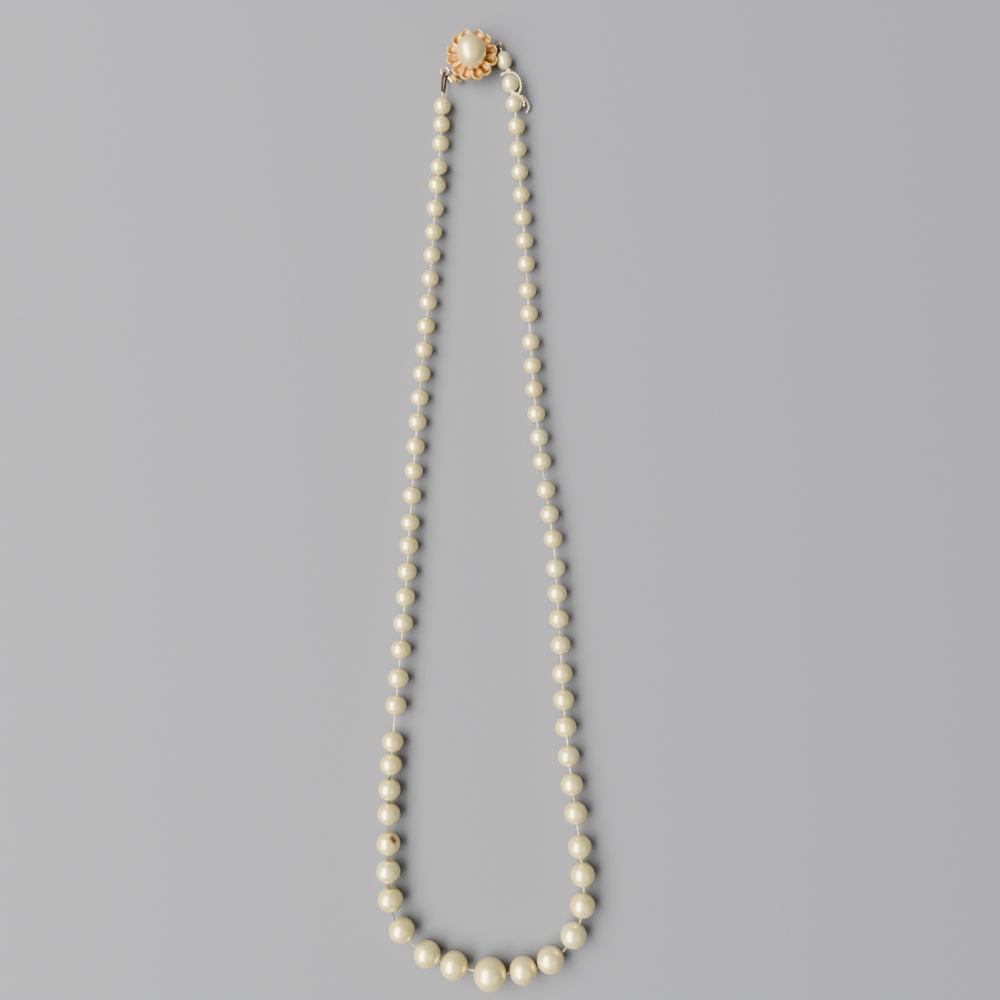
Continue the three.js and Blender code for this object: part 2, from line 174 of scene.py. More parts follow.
def add_node(tree, kind, links=None, inputs=None, stops=(), **options):
    """Adds a node of any kind: options are its own properties, links join its inputs to other
    nodes' sockets, inputs sets their values, and stops are a colour ramp's positions and colours."""
    node = tree.nodes.new(kind)
    for name, value in options.items():
        setattr(node, name, value)
    for name, value in (inputs or {}).items():
        node.inputs[name].default_value = value
    for name, socket in (links or {}).items():
        tree.links.new(socket, node.inputs[name])
    for _ in stops[2:]:
        node.color_ramp.elements.new(0.5)
    for k, (position, colour) in enumerate(stops):
        node.color_ramp.elements[k].position, node.color_ramp.elements[k].color = position, colour
    return node


def in_scene(name, data):
    """A new object of this mesh, light or camera, in the scene."""
    obj = bpy.data.objects.new(name, data)
    bpy.context.scene.collection.objects.link(obj)
    return obj


def mesh_object(name, vertices, faces, edges=(), smooth=True):
    mesh = bpy.data.meshes.new(name)
    mesh.from_pydata([tuple(v) for v in vertices], edges, faces)
    mesh.validate()
    mesh.polygons.foreach_set("use_smooth", [smooth] * len(mesh.polygons))
    return in_scene(name, mesh)


def grid_faces(rows, columns, wrap_rows=False):
    """Quads over rows of vertices, each row a closed ring of columns vertices."""
    faces = []
    for i in range(rows if wrap_rows else rows - 1):
        for j in range(columns):
            a, b = i * columns + j, i * columns + (j + 1) % columns
            c, d = ((i + 1) % rows) * columns + (j + 1) % columns, ((i + 1) % rows) * columns + j
            faces.append((a, b, c, d))
    return faces


def point_attribute(obj, name, values):
    attribute = obj.data.attributes.new(name, "FLOAT", "POINT")
    attribute.data.foreach_set("value", values)


def place(obj, body, material=None, stands_for=()):
    """Gives a finished piece its material, its body and the CAD nodes that it stands for."""
    if material:
        obj.data.materials.clear()
        obj.data.materials.append(material)
    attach(obj, body)
    if stands_for:
        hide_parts(*stands_for)
    return obj


def new_tree(name, **inputs):
    """A geometry node tree with a mesh in, a mesh out and further inputs, each given as its label
    and its kind of socket. Gives the tree, its group input and what identifies each input."""
    tree = bpy.data.node_groups.new(name, "GeometryNodeTree")
    known = {}
    for key, (label, kind) in {"mesh": ("Geometry", "Geometry"), **inputs}.items():
        socket = tree.interface.new_socket(label, in_out="INPUT", socket_type="NodeSocket" + kind)
        known[key] = socket.identifier
    tree.interface.new_socket("Geometry", in_out="OUTPUT", socket_type="NodeSocketGeometry")
    return tree, add_node(tree, "NodeGroupInput"), known


def finish_tree(tree, geometry, material):
    """Ends a tree with real faces of one material, because instances are lost on export."""
    real = add_node(tree, "GeometryNodeRealizeInstances", {"Geometry": geometry})
    finished = add_node(tree, "GeometryNodeSetMaterial", {"Geometry": real.outputs["Geometry"]},
                        {"Material": material})
    add_node(tree, "NodeGroupOutput", {"Geometry": finished.outputs["Geometry"]})


def bake_nodes(obj, name, nodes, **values):
    """What a node tree makes of obj with these inputs, as a plain mesh object in place of obj."""
    tree, known = nodes
    modifier = obj.modifiers.new(name, "NODES")
    modifier.node_group = tree
    for key, value in values.items():
        modifier[known[key]] = value
    bpy.context.view_layer.update()
    graph = bpy.context.evaluated_depsgraph_get()
    mesh = bpy.data.meshes.new_from_object(
        obj.evaluated_get(graph), preserve_all_data_layers=True, depsgraph=graph)
    if not mesh.polygons:
        raise RuntimeError(f"{name}: its node tree made no faces")
    bpy.data.meshes.remove(obj.data)
    mesh.name = name
    mesh.polygons.foreach_set("use_smooth", [True] * len(mesh.polygons))
    return in_scene(name, mesh)


def face_outward(obj):
    """Turns the faces of a closed mesh outward."""
    bm = bmesh.new()
    bm.from_mesh(obj.data)
    bmesh.ops.recalc_face_normals(bm, faces=bm.faces)
    bm.to_mesh(obj.data)
    bm.free()


def join(obj, *others):
    """Adds other meshes to obj's mesh."""
    bm = bmesh.new()
    bm.from_mesh(obj.data)
    for other in others:
        bm.from_mesh(other.data)
        bpy.data.objects.remove(other)
    bm.to_mesh(obj.data)
    bm.free()
    obj.data.polygons.foreach_set("use_smooth", [True] * len(obj.data.polygons))


def frames_along(path):
    """A side and an up vector at each point of a path, turned as little as possible on the way."""
    tangents = []
    for i in range(len(path)):
        step = path[min(i + 1, len(path) - 1)] - path[max(i - 1, 0)]
        tangents.append(step.normalized())
    up = Vector((0, 0, 1)) - tangents[0] * tangents[0].z
    up = up.normalized() if up.length > 0.1 else Vector((0, 1, 0))
    frames = []
    for tangent in tangents:
        up = (up - tangent * up.dot(tangent)).normalized()
        frames.append((up.cross(tangent).normalized(), up))
    return frames


def sweep(name, path, section):
    """A closed tube: section(share) gives the outline's (side, up) points that far along the path."""
    frames, vertices = frames_along(path), []
    for i, (point, (side, up)) in enumerate(zip(path, frames)):
        outline = section(i / (len(path) - 1))
        vertices += [point + side * x + up * y for x, y in outline]
    columns = len(outline)
    faces = grid_faces(len(path), columns)
    last = (len(path) - 1) * columns
    faces += [tuple(range(columns - 1, -1, -1)), tuple(range(last, last + columns))]
    obj = mesh_object(name, vertices, faces)
    face_outward(obj)
    return obj


def round_section(radius, sides, flatten=1.0):
    """A circle's (side, up) points, or an ellipse's that is flatter upward."""
    return [
        (radius * math.cos(2 * math.pi * k / sides), flatten * radius * math.sin(2 * math.pi * k / sides))
        for k in range(sides)
    ]


def smooth_step(p0, p1, p2, p3, t):
    """A share t of the way from p1 to p2, on the Catmull-Rom curve through all four."""
    return 0.5 * (2 * p1 + (p2 - p0) * t + (2 * p0 - 5 * p1 + 4 * p2 - p3) * t * t
                  + (3 * p1 - p0 - 3 * p2 + p3) * t ** 3)


def smooth_path(points, spacing):
    """A smooth curve through the points, in steps of about spacing."""
    points, path = [Vector(p) for p in points], []
    for i in range(len(points) - 1):
        p0, p1 = points[max(i - 1, 0)], points[i]
        p2, p3 = points[i + 1], points[min(i + 2, len(points) - 1)]
        steps = max(2, math.ceil((p2 - p1).length / spacing))
        path += [smooth_step(p0, p1, p2, p3, k / steps) for k in range(steps)]
    path.append(points[-1])
    return path


def lathe(name, profile, segments, centre=(0, 0, 0)):
    """Turns a closed profile of (radius, height) points about an upright axis through centre. A
    point with no radius is a pole."""
    around = [2 * math.pi * k / segments for k in range(segments)]
    vertices, rings = [], []
    for radius, height in profile:
        if radius < 1e-9:
            rings.append([len(vertices)])
            vertices.append((0, 0, height))
        else:
            rings.append(list(range(len(vertices), len(vertices) + segments)))
            vertices += [(radius * math.cos(a), radius * math.sin(a), height) for a in around]
    faces = []
    pairs = list(zip(rings, rings[1:]))
    if len(rings[0]) > 1 and len(rings[-1]) > 1:
        pairs.append((rings[-1], rings[0]))
    for low, high in pairs:
        for k in range(segments):
            corners = list(dict.fromkeys((
                low[k % len(low)], low[(k + 1) % len(low)], high[(k + 1) % len(high)], high[k % len(high)])))
            if len(corners) > 2:
                faces.append(tuple(corners))
    obj = mesh_object(name, [Vector(v) + Vector(centre) for v in vertices], faces)
    face_outward(obj)
    return obj


def rounded(corners, radius):
    """A polyline of (radius, height) corners with each inner corner rounded. Where two curves meet
    in the middle of a side, the point that they share is kept once."""
    points = [corners[0]]
    for before, corner, after in zip(corners, corners[1:], corners[2:]):
        b, c, a = Vector(before), Vector(corner), Vector(after)
        reach = min(radius, (b - c).length / 2, (a - c).length / 2)
        start, end = c + (b - c).normalized() * reach, c + (a - c).normalized() * reach
        for t in (k / CORNER_STEPS for k in range(CORNER_STEPS + 1)):
            p = start * (1 - t) ** 2 + c * 2 * t * (1 - t) + end * t * t
            if math.dist(p, points[-1]) > SAME_PLACE:
                points.append((p.x, p.y))
    return points + [corners[-1]]


# ---------------------------------------------------------------------------------------------
# Where the pearls and the silk lie
# ---------------------------------------------------------------------------------------------

def pearl_radius(side, number):
    pearls = settings("necklace_pearls")
    steps = PEARLS_ON[side] + 1 - number
    if steps == 0:
        return pearls.centre / 2
    return (pearls.end + pearls.gain * math.exp(-steps / pearls.taper)) / 2


def group_of(joint):
    """A turning group: its node, side, axis line, end points, and each pearl's radius and centre."""
    node = joint["name"].removesuffix("_spin")
    side = "right" if node == "pearl_centre" else node.split("_")[1]
    if node == "pearl_centre":
        numbers = [PEARLS_ON[side] + 1]
    else:
        ends = [int(word) for word in node.split("_")[2:]]
        numbers = list(range(ends[0], ends[-1] + 1))
    radii = [pearl_radius(side, n) for n in numbers]
    gaps = [GAPS[side].get(n, USUAL_GAP[side]) for n in numbers[:-1]]
    length = 2 * sum(radii) + sum(gaps)
    middle, axis = Vector(joint["pos_m"]), Vector(joint["axis"]).normalized()
    start, pearls, along = middle - axis * length / 2, [], 0.0
    for i, (number, radius) in enumerate(zip(numbers, radii)):
        pearls.append({"number": number, "radius": radius, "centre": start + axis * (along + radius)})
        along += 2 * radius + (gaps[i] if i < len(gaps) else 0)
    return {"node": node, "side": side, "body": joint["child"], "axis": axis, "pearls": pearls,
            "start": start, "end": start + axis * length}


def groups_on(side, section):
    body = f"{side}_strand_{section}"
    return [group_of(j) for j in frame["joints"] if j.get("continuous") and j["parent"] == body]


# ---------------------------------------------------------------------------------------------
# Materials
# ---------------------------------------------------------------------------------------------

def fresh_material(name):
    """The material of that name, emptied down to a shader, so a piece that is made again renews it."""
    material = bpy.data.materials.get(name) or bpy.data.materials.new(name)
    material.use_nodes = True
    tree = material.node_tree
    tree.nodes.clear()
    shader = add_node(tree, "ShaderNodeBsdfPrincipled")
    add_node(tree, "ShaderNodeOutputMaterial", {"Surface": shader.outputs["BSDF"]})
    return material, tree, shader


def finish_with(tree, shader, values, **sockets):
    """Sets the shader's plain values and joins its base colour, roughness and normal."""
    for name, value in values.items():
        shader.inputs[name].default_value = value
    for name, socket in sockets.items():
        tree.links.new(socket, shader.inputs[name.replace("_", " ").title()])


def nacre_material():
    """Cultured pearl nacre: thin layers of aragonite laid down over a bead and polished. They give a
    broad soft highlight under a clear gloss, a warm glow from inside and fine growth marks."""
    pearls = settings("necklace_pearls")
    material, tree, shader = fresh_material("cultured_pearl_nacre")
    where = add_node(tree, "ShaderNodeTexCoord").outputs["Object"]
    tint = add_node(tree, "ShaderNodeAttribute", attribute_name="tint")
    by_pearl = add_node(tree, "ShaderNodeValToRGB", {"Fac": tint.outputs["Fac"]}, stops=[
        (0.0, linear(pearls.green)), (0.3, linear(pearls.cream)), (0.62, linear(pearls.cream)),
        (0.8, linear(pearls.rose)), (1.0, linear(pearls.gold)),
    ])
    cloud = add_node(tree, "ShaderNodeTexNoise", {"Vector": where},
                     {"Scale": per_mm(2.6), "Detail": 2.0, "Roughness": 0.55})
    cloudy = add_node(tree, "ShaderNodeValToRGB", {"Fac": cloud.outputs["Fac"]},
                      stops=[(0.42, grey(0.0)), (0.68, grey(0.35))])
    body = add_node(tree, "ShaderNodeMix", {0: cloudy.outputs["Color"], 6: by_pearl.outputs["Color"]},
                    {7: linear(pearls.gold)}, data_type="RGBA")
    mark = add_node(tree, "ShaderNodeAttribute", attribute_name="mark")
    marked = add_node(tree, "ShaderNodeMix", {0: mark.outputs["Fac"], 6: body.outputs[2]},
                      {7: linear(pearls.stain)}, data_type="RGBA")
    grain = add_node(tree, "ShaderNodeTexNoise", {"Vector": where},
                     {"Scale": per_mm(0.35), "Detail": 4.0, "Roughness": 0.6})
    gloss = add_node(tree, "ShaderNodeValToRGB", {"Fac": grain.outputs["Fac"]},
                     stops=[(0.3, grey(0.3)), (0.75, grey(0.42))])
    growth = add_node(tree, "ShaderNodeTexNoise", {"Vector": where},
                      {"Scale": per_mm(0.9), "Detail": 3.0, "Roughness": 0.5})
    height = add_node(tree, "ShaderNodeMath", {0: grain.outputs["Fac"], 1: growth.outputs["Fac"]},
                      operation="MULTIPLY")
    bump = add_node(tree, "ShaderNodeBump", {"Height": height.outputs[0]},
                    {"Strength": 0.12, "Distance": 0.05 * MM})
    finish_with(tree, shader, {
        "IOR": 1.66, "Metallic": 0.5, "Subsurface Weight": 0.2, "Subsurface Scale": 0.6 * MM,
        "Subsurface Radius": (1.0, 0.7, 0.36), "Coat Weight": 1.0, "Coat Roughness": 0.28, "Coat IOR": 1.75,
        "Thin Film Thickness": 374.0, "Thin Film IOR": 1.45,
    }, base_color=marked.outputs[2], roughness=gloss.outputs["Color"], normal=bump.outputs["Normal"])
    return material


def silk_material():
    """Spun and twisted stringing silk: soft fibres with a faint sheen, painted shade of the hollows of the
    twist in random patches, and soil in places. Its fibres are drawn several times as coarse as real
    ones, so that they show."""
    silk = settings("necklace_silk")
    material, tree, shader = fresh_material("stringing_silk")
    where = add_node(tree, "ShaderNodeTexCoord").outputs["Object"]
    fibre = add_node(tree, "ShaderNodeTexNoise", {"Vector": where},
                     {"Scale": per_mm(0.12), "Detail": 3.0, "Roughness": 0.55})
    patch = add_node(tree, "ShaderNodeTexNoise", {"Vector": where},
                     {"Scale": per_mm(3.0), "Detail": 2.0, "Roughness": 0.55})
    # Painted shade of the twist's hollows, laid in random patches.
    twist_shade = add_node(tree, "ShaderNodeMath", {0: fibre.outputs["Fac"], 1: patch.outputs["Fac"]},
                    operation="MULTIPLY")
    shade = add_node(tree, "ShaderNodeValToRGB", {"Fac": twist_shade.outputs[0]},
                     stops=[(0.14, linear(silk.shade)), (0.34, linear(silk.colour))])
    soil = add_node(tree, "ShaderNodeAttribute", attribute_name="soil")
    soiled = add_node(tree, "ShaderNodeMix", {0: soil.outputs["Fac"], 6: shade.outputs["Color"]},
                      {7: linear(silk.soil)}, data_type="RGBA")
    bump = add_node(tree, "ShaderNodeBump", {"Height": fibre.outputs["Fac"]},
                    {"Strength": 0.5, "Distance": 0.03 * MM})
    finish_with(tree, shader, {
        "Roughness": 0.62, "Sheen Weight": 0.35, "Sheen Roughness": 0.35,
        "Subsurface Weight": 0.2, "Subsurface Scale": 0.3 * MM,
    }, base_color=soiled.outputs[2], normal=bump.outputs["Normal"])
    return material


# The clasp's golds: the colours that each is where it is bright and where it is dark, and the depths
# between which the one turns into the other. The dark colour lies in random blotches, and on the
# flower it is also painted shade in the hollows and under the edge.
GOLDS = {
    "rose_gold_tarnish_and_painted_shade": ("gold", "patina_and_shade", 0.45, 1.3),  # stamped; painted shade fills its hollows and underside, so its rims stay bright
    "shaded_rose_gold": ("gold", "patina_and_shade", 0.14, 0.62),  # rolled sheet under the flower: the flower's gold painted darker as shade
    "tarnished_gold_wire": ("pale", "tarnish", 0.02, 0.25),  # drawn and soldered, nearly all brown
    "pale_gold_wire": ("pale", "patina_and_shade", 0.18, 0.7),  # drawn, and kept bright by handling
    "dark_coiled_gimp": ("tarnish", "gimp_darkest", 0.1, 0.34),  # fine coiled wire, dark brown to near black in random blotches
}


def gold_material(name):
    """Nine carat gold: a rosy alloy, polished when it was new, that tarnishes brown in random blotches.
    The recess attribute says how deep a point lies in a hollow or under an edge, and is 0 on pieces
    without one; it darkens the gold there as painted shade. Its blotches and scratches are drawn
    coarse enough to show."""
    clasp = settings("necklace_clasp")
    bright, dark, start, end = GOLDS[name]
    material, tree, shader = fresh_material(name)
    where = add_node(tree, "ShaderNodeTexCoord").outputs["Object"]
    recess = add_node(tree, "ShaderNodeAttribute", attribute_name="recess")
    blotch = add_node(tree, "ShaderNodeTexNoise", {"Vector": where},
                      {"Scale": per_mm(0.9), "Detail": 4.0, "Roughness": 0.6})
    depth = add_node(tree, "ShaderNodeMath", {0: blotch.outputs["Fac"], 2: recess.outputs["Fac"]},
                     {1: 0.35}, operation="MULTIPLY_ADD")
    shade = add_node(tree, "ShaderNodeValToRGB", {"Fac": depth.outputs[0]},
                     stops=[(start, grey(0.0)), (end, grey(1.0))])
    colour = add_node(tree, "ShaderNodeMix", {0: shade.outputs["Color"]},
                      {6: linear(getattr(clasp, bright)), 7: linear(getattr(clasp, dark))},
                      data_type="RGBA")
    scratch = add_node(tree, "ShaderNodeTexNoise", {"Vector": where},
                       {"Scale": per_mm(0.14), "Detail": 5.0, "Roughness": 0.7})
    rough = add_node(tree, "ShaderNodeMath", {0: shade.outputs["Color"], 2: scratch.outputs["Fac"]},
                     {1: 0.5}, operation="MULTIPLY_ADD")
    polish = add_node(tree, "ShaderNodeValToRGB", {"Fac": rough.outputs[0]},
                      stops=[(0.3, grey(0.27)), (1.0, grey(0.55))])
    bump = add_node(tree, "ShaderNodeBump", {"Height": scratch.outputs["Fac"]},
                    {"Strength": 0.25, "Distance": 0.02 * MM})
    finish_with(tree, shader, {"Metallic": 1.0}, base_color=colour.outputs[2],
                roughness=polish.outputs["Color"], normal=bump.outputs["Normal"])
    return material


# ---------------------------------------------------------------------------------------------
# Pearls
# ---------------------------------------------------------------------------------------------

PEARL_SEGMENTS = 56
PEARL_BANDS = 30
LIP = 0.12 * MM  # width of the rounded rim of a drilled hole
LIP_DEPTH = 1.4  # depth of that rim, as a share of its width
OUT_OF_ROUND = 0.022  # how far from round the pearls are, as a share of the radius
WAVE = 1.6  # how wide those hills and hollows are, as a share of the radius
LENGTHS = (-0.025, 0.015)  # least and most that a pearl is longer along the silk than across it
WIDTHS = (-0.008, 0.008)  # the same for one width against the other
TONES = (0.47, 0.17)  # middle and spread of the pearls' tones, from 0, cool, to 1, golden
COOL_TONE = 0.12


def drilled_pearl(radius, bore):
    """One pearl along Z, with a drilled hole whose rim is softly rounded."""
    first = math.asin((bore + LIP) / radius)
    outer = [first + (math.pi - 2 * first) * k / PEARL_BANDS for k in range(PEARL_BANDS + 1)]
    profile = [(radius * math.sin(a), -radius * math.cos(a)) for a in outer]
    mouth = profile[0][1]
    inside = [(bore + LIP * (1 - math.sin(t)), mouth + LIP * (1 - math.cos(t)) * LIP_DEPTH)
              for t in (math.pi / 6, math.pi / 3, math.pi / 2)]
    profile += [(r, -z) for r, z in inside]
    profile += [(r, z) for r, z in reversed(inside)]
    return lathe("pearl_shape", profile, PEARL_SEGMENTS)


def pearl_tree(material):
    """Puts a pearl on each point, turned to its axis, then makes it a little out of round."""
    tree, given, known = new_tree("strung_pearls", shape=("Pearl", "Object"),
                                  uneven=("Out of Round", "Float"), size=("Bump Size", "Float"))
    pearl = add_node(tree, "GeometryNodeObjectInfo", {"Object": given.outputs["Pearl"]})
    axis, stretch = (
        add_node(tree, "GeometryNodeInputNamedAttribute", inputs={"Name": name}, data_type="FLOAT_VECTOR")
        for name in ("axis", "stretch"))
    align = add_node(tree, "FunctionNodeAlignRotationToVector", {"Vector": axis.outputs["Attribute"]},
                     axis="Z")
    placed = add_node(tree, "GeometryNodeInstanceOnPoints", {
        "Points": given.outputs["Geometry"], "Instance": pearl.outputs["Geometry"],
        "Rotation": align.outputs["Rotation"], "Scale": stretch.outputs["Attribute"],
    })
    real = add_node(tree, "GeometryNodeRealizeInstances", {"Geometry": placed.outputs["Instances"]})
    where = add_node(tree, "GeometryNodeInputPosition")
    per_size = add_node(tree, "ShaderNodeMath", {1: given.outputs["Bump Size"]}, {0: 1.0},
                        operation="DIVIDE")
    wave = add_node(tree, "ShaderNodeTexNoise", {"Vector": where.outputs[0], "Scale": per_size.outputs[0]},
                    {"Detail": 2.0, "Roughness": 0.35})
    centred = add_node(tree, "ShaderNodeMath", {0: wave.outputs["Fac"]}, {1: 0.5}, operation="SUBTRACT")
    amount = add_node(tree, "ShaderNodeMath", {0: centred.outputs[0], 1: given.outputs["Out of Round"]},
                      operation="MULTIPLY")
    normal = add_node(tree, "GeometryNodeInputNormal")
    offset = add_node(tree, "ShaderNodeVectorMath", {0: normal.outputs[0], "Scale": amount.outputs[0]},
                      operation="SCALE")
    shaped = add_node(tree, "GeometryNodeSetPosition",
                      {"Geometry": real.outputs["Geometry"], "Offset": offset.outputs[0]})
    finish_tree(tree, shaped.outputs["Geometry"], material)
    return tree, known


# Pearls with marks of their own, such as a brown stain or a dark mark round a drill hole: the direction
# of each from the pearl's centre, its width as a share of the radius, and its strength.
MARKS = {
    ("left", 31): (((0.42, 0.62, 0.66), 0.36, 1.0), ((0.56, 0.46, 0.68), 0.4, 1.0)),
    ("left", 29): (((0.0, 0.96, 0.3), 0.3, 0.8),),
    ("left", 30): (((0.08, 0.97, 0.22), 0.3, 0.7),),
    ("left", 32): (((0.05, 0.97, 0.22), 0.3, 0.7),),
    ("left", 33): (((0.0, 0.97, 0.22), 0.32, 0.7),),
    ("right", 20): (((-0.5, 0.45, 0.74), 0.14, 0.95),),
}
# Pearls that are not as round as the rest: their width and their length along the silk, as shares.
OVAL_PEARLS = {("right", 1): (0.9, 1.08), ("right", 2): (1.0, 1.05), ("left", 1): (1.0, 1.05)}
COOL_PEARLS = (("right", 1), ("right", 2))  # whiter than the rest
RAGGED = 0.25  # how uneven the edge of a mark is, as a share of its width
RAGGED_SIZE = 0.4 * MM
EDGE = 1.6  # how soon a mark is at full strength inside its edge


def mark_strength(side, pearl, point):
    """How dark a point of a pearl is marked."""
    strength = 0.0
    away = (point - pearl["centre"]).normalized()
    for direction, width, deepest in MARKS.get((side, pearl["number"]), ()):
        ragged = RAGGED * width * noise.noise(point / RAGGED_SIZE)
        distance = (away - Vector(direction).normalized()).length + ragged
        strength = max(strength, deepest * min(1.0, max(0.0, EDGE * (1 - distance / width))))
    return strength


class NECKLACE_OT_strung_pearls(bpy.types.Operator):
    """Make the graduated pearls, one mesh for each group that turns on the silk"""

    bl_idname = "necklace.strung_pearls"
    bl_label = "Strung Pearls"

    def execute(self, context):
        material = nacre_material()
        nodes = pearl_tree(material)
        chance = random.Random(SEED)
        for side in SIDES:
            for section in range(1, SECTIONS + 1):
                for group in groups_on(side, section):
                    self.make_group(group, material, nodes, chance)
        return {"FINISHED"}

    def make_group(self, group, material, nodes, chance):
        row = group["pearls"]
        mean = sum(p["radius"] for p in row) / len(row)
        shape = drilled_pearl(mean, settings("necklace_pearls").bore / 2)
        shape.data.materials.append(material)
        points = bpy.data.meshes.new("points")
        points.from_pydata([p["centre"] for p in row], [], [])
        tints, stretches = [], []
        for p in row:
            size, key = p["radius"] / mean, (group["side"], p["number"])
            across, along = OVAL_PEARLS.get(key, (1.0, 1 + chance.uniform(*LENGTHS)))
            stretches += [size * across * (1 + chance.uniform(*WIDTHS)), size * across, size * along]
            toned = min(1.0, max(0.0, chance.gauss(*TONES)))
            tints.append(COOL_TONE if key in COOL_PEARLS else toned)
        for name, kind, values in (("axis", "FLOAT_VECTOR", list(group["axis"]) * len(row)),
                                   ("stretch", "FLOAT_VECTOR", stretches), ("tint", "FLOAT", tints)):
            attribute = points.attributes.new(name, kind, "POINT")
            attribute.data.foreach_set("vector" if kind == "FLOAT_VECTOR" else "value", values)
        made = bake_nodes(in_scene("points", points), group["node"].replace("pearl", "nacre", 1), nodes,
                          shape=shape, uneven=2 * OUT_OF_ROUND * mean, size=WAVE * mean)
        bpy.data.objects.remove(shape)
        marks = []
        for vertex in made.data.vertices:
            nearest = min(row, key=lambda p: (vertex.co - p["centre"]).length_squared)
            marks.append(mark_strength(group["side"], nearest, vertex.co))
        point_attribute(made, "mark", marks)
        place(made, group["body"], stands_for=[group["node"]])


# ---------------------------------------------------------------------------------------------
# Silk
# ---------------------------------------------------------------------------------------------

SOILED = (-93 * MM, -58 * MM)  # the most soiled length of the left strand, by its place along Y
INTO_PEARL = 0.9 * MM  # how far the silk that spans a bend reaches into the holes beside it
END_INSIDE = 0.02 * MM  # how far the silk's end stands in the centre pearl


def silk_tree(material):
    """Sweeps two round plies, twisted about each other, along a path."""
    tree, given, known = new_tree("twisted_silk", width=("Diameter", "Float"), pitch=("Pitch", "Float"))
    step = add_node(tree, "ShaderNodeMath", {0: given.outputs["Pitch"]}, {1: 10.0}, operation="DIVIDE")
    curve = add_node(tree, "GeometryNodeMeshToCurve", {"Mesh": given.outputs["Geometry"]})
    even = add_node(tree, "GeometryNodeResampleCurve",
                    {"Curve": curve.outputs["Curve"], "Length": step.outputs[0]}, mode="LENGTH")
    along = add_node(tree, "GeometryNodeSplineParameter")
    turns = add_node(tree, "ShaderNodeMath", {0: along.outputs["Length"], 1: given.outputs["Pitch"]},
                     operation="DIVIDE")
    angle = add_node(tree, "ShaderNodeMath", {0: turns.outputs[0]}, {1: 2 * math.pi}, operation="MULTIPLY")
    twisted = add_node(tree, "GeometryNodeSetCurveTilt",
                       {"Curve": even.outputs["Curve"], "Tilt": angle.outputs[0]})
    quarter = add_node(tree, "ShaderNodeMath", {0: given.outputs["Diameter"]}, {1: 4.0}, operation="DIVIDE")
    ply = add_node(tree, "GeometryNodeCurvePrimitiveCircle", {"Radius": quarter.outputs[0]},
                   {"Resolution": 10}, mode="RADIUS")
    plies = add_node(tree, "GeometryNodeJoinGeometry")
    for shift_by in (0.96, -0.96):
        shift = add_node(tree, "ShaderNodeMath", {0: quarter.outputs[0]}, {1: shift_by},
                         operation="MULTIPLY")
        offset = add_node(tree, "ShaderNodeCombineXYZ", {"X": shift.outputs[0]})
        moved = add_node(tree, "GeometryNodeTransform",
                         {"Geometry": ply.outputs["Curve"], "Translation": offset.outputs[0]})
        tree.links.new(moved.outputs["Geometry"], plies.inputs[0])
    body = add_node(tree, "GeometryNodeCurveToMesh",
                    {"Curve": twisted.outputs["Curve"], "Profile Curve": plies.outputs["Geometry"]},
                    {"Fill Caps": True})
    finish_tree(tree, body.outputs["Mesh"], material)
    return tree, known


def line_object(path):
    return mesh_object("line", path, [], [(i, i + 1) for i in range(len(path) - 1)])


def soil_at(point):
    """How soiled the silk is: patchy, and most at the front of the left strand."""
    soil = 0.18 + 0.5 * noise.noise(point / (7 * MM))
    if point.x < 0 and SOILED[0] < point.y < SOILED[1]:
        soil += 0.8
    return min(1.0, max(0.0, soil))


def twisted_silk(name, path, nodes, diameter=None, clean=False):
    """Silk along a path, as thick as the strung thread unless a diameter is given."""
    silk = settings("necklace_silk")
    made = bake_nodes(line_object(path), name, nodes, width=diameter or silk.diameter, pitch=silk.pitch)
    point_attribute(made, "soil", [0.0 if clean else soil_at(v.co) for v in made.data.vertices])
    return made


class NECKLACE_OT_silk(bpy.types.Operator):
    """String the silk through the pearls, with a bending span across each joint"""

    bl_idname = "necklace.silk"
    bl_label = "Stringing Silk"

    def execute(self, context):
        nodes = silk_tree(silk_material())
        for side in SIDES:
            last = None
            for section in range(1, SECTIONS + 1):
                groups = groups_on(side, section)
                path = [point for g in groups for point in (g["start"], g["end"])]
                if last:
                    path[0] = path[0] + groups[0]["axis"] * INTO_PEARL
                    self.make_span(side, section, last, groups[0], nodes)
                if section < SECTIONS:
                    path[-1] = path[-1] - groups[-1]["axis"] * INTO_PEARL
                elif side == "left":
                    centre = group_of(JOINTS["pearl_centre_spin"])["pearls"][0]
                    toward = (centre["centre"] - path[-1]).normalized()
                    path.append(centre["centre"] - toward * (centre["radius"] - END_INSIDE))
                made = twisted_silk(f"thread_{side}_{section}", path, nodes)
                place(made, f"{side}_strand_{section}", stands_for=[f"silk_{side}_{section}"])
                last = groups[-1]
        return {"FINISHED"}

    def make_span(self, side, section, before, after, nodes):
        start, end = before["end"], after["start"]
        path = smooth_path([
            start - before["axis"] * INTO_PEARL, start - before["axis"] * INTO_PEARL / 3, start,
            end, end + after["axis"] * INTO_PEARL / 3, end + after["axis"] * INTO_PEARL,
        ], 0.1 * MM)
        made = twisted_silk(f"thread_bend_{side}_{section}", path, nodes)
        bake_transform(made)


# ---------------------------------------------------------------------------------------------
# Gimp, knot and loose end
# ---------------------------------------------------------------------------------------------

GIMP_RADIUS = 0.21 * MM  # from the middle of the loop to the middle of its wire
GIMP_WIRE = 0.1 * MM
LOOP_THREAD = 0.32 * MM  # pulled thin over the ring
RING_RADIUS = 0.85 * MM  # of the clasp's wire rings, to the middle of the wire
RING_WIRE = 0.4 * MM
GUARD_RADIUS = 0.55 * MM  # of the ring for a guard chain
# For each side: the ring that the loop goes over, the way the loop leans, and the shares of the
# loop's length between which the gimp covers it.
LOOPS = {"left": ("tongue_ring", -1, (0.16, 0.86)), "right": ("box_ring", 1, (0.3, 0.93))}


def ring_centre(joint, node):
    """The middle of a wire ring: its strand's first joint stands over it."""
    x, y, _ = JOINTS[joint]["pos_m"]
    low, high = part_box(node)
    return Vector((x, y, (low.z + high.z) / 2))


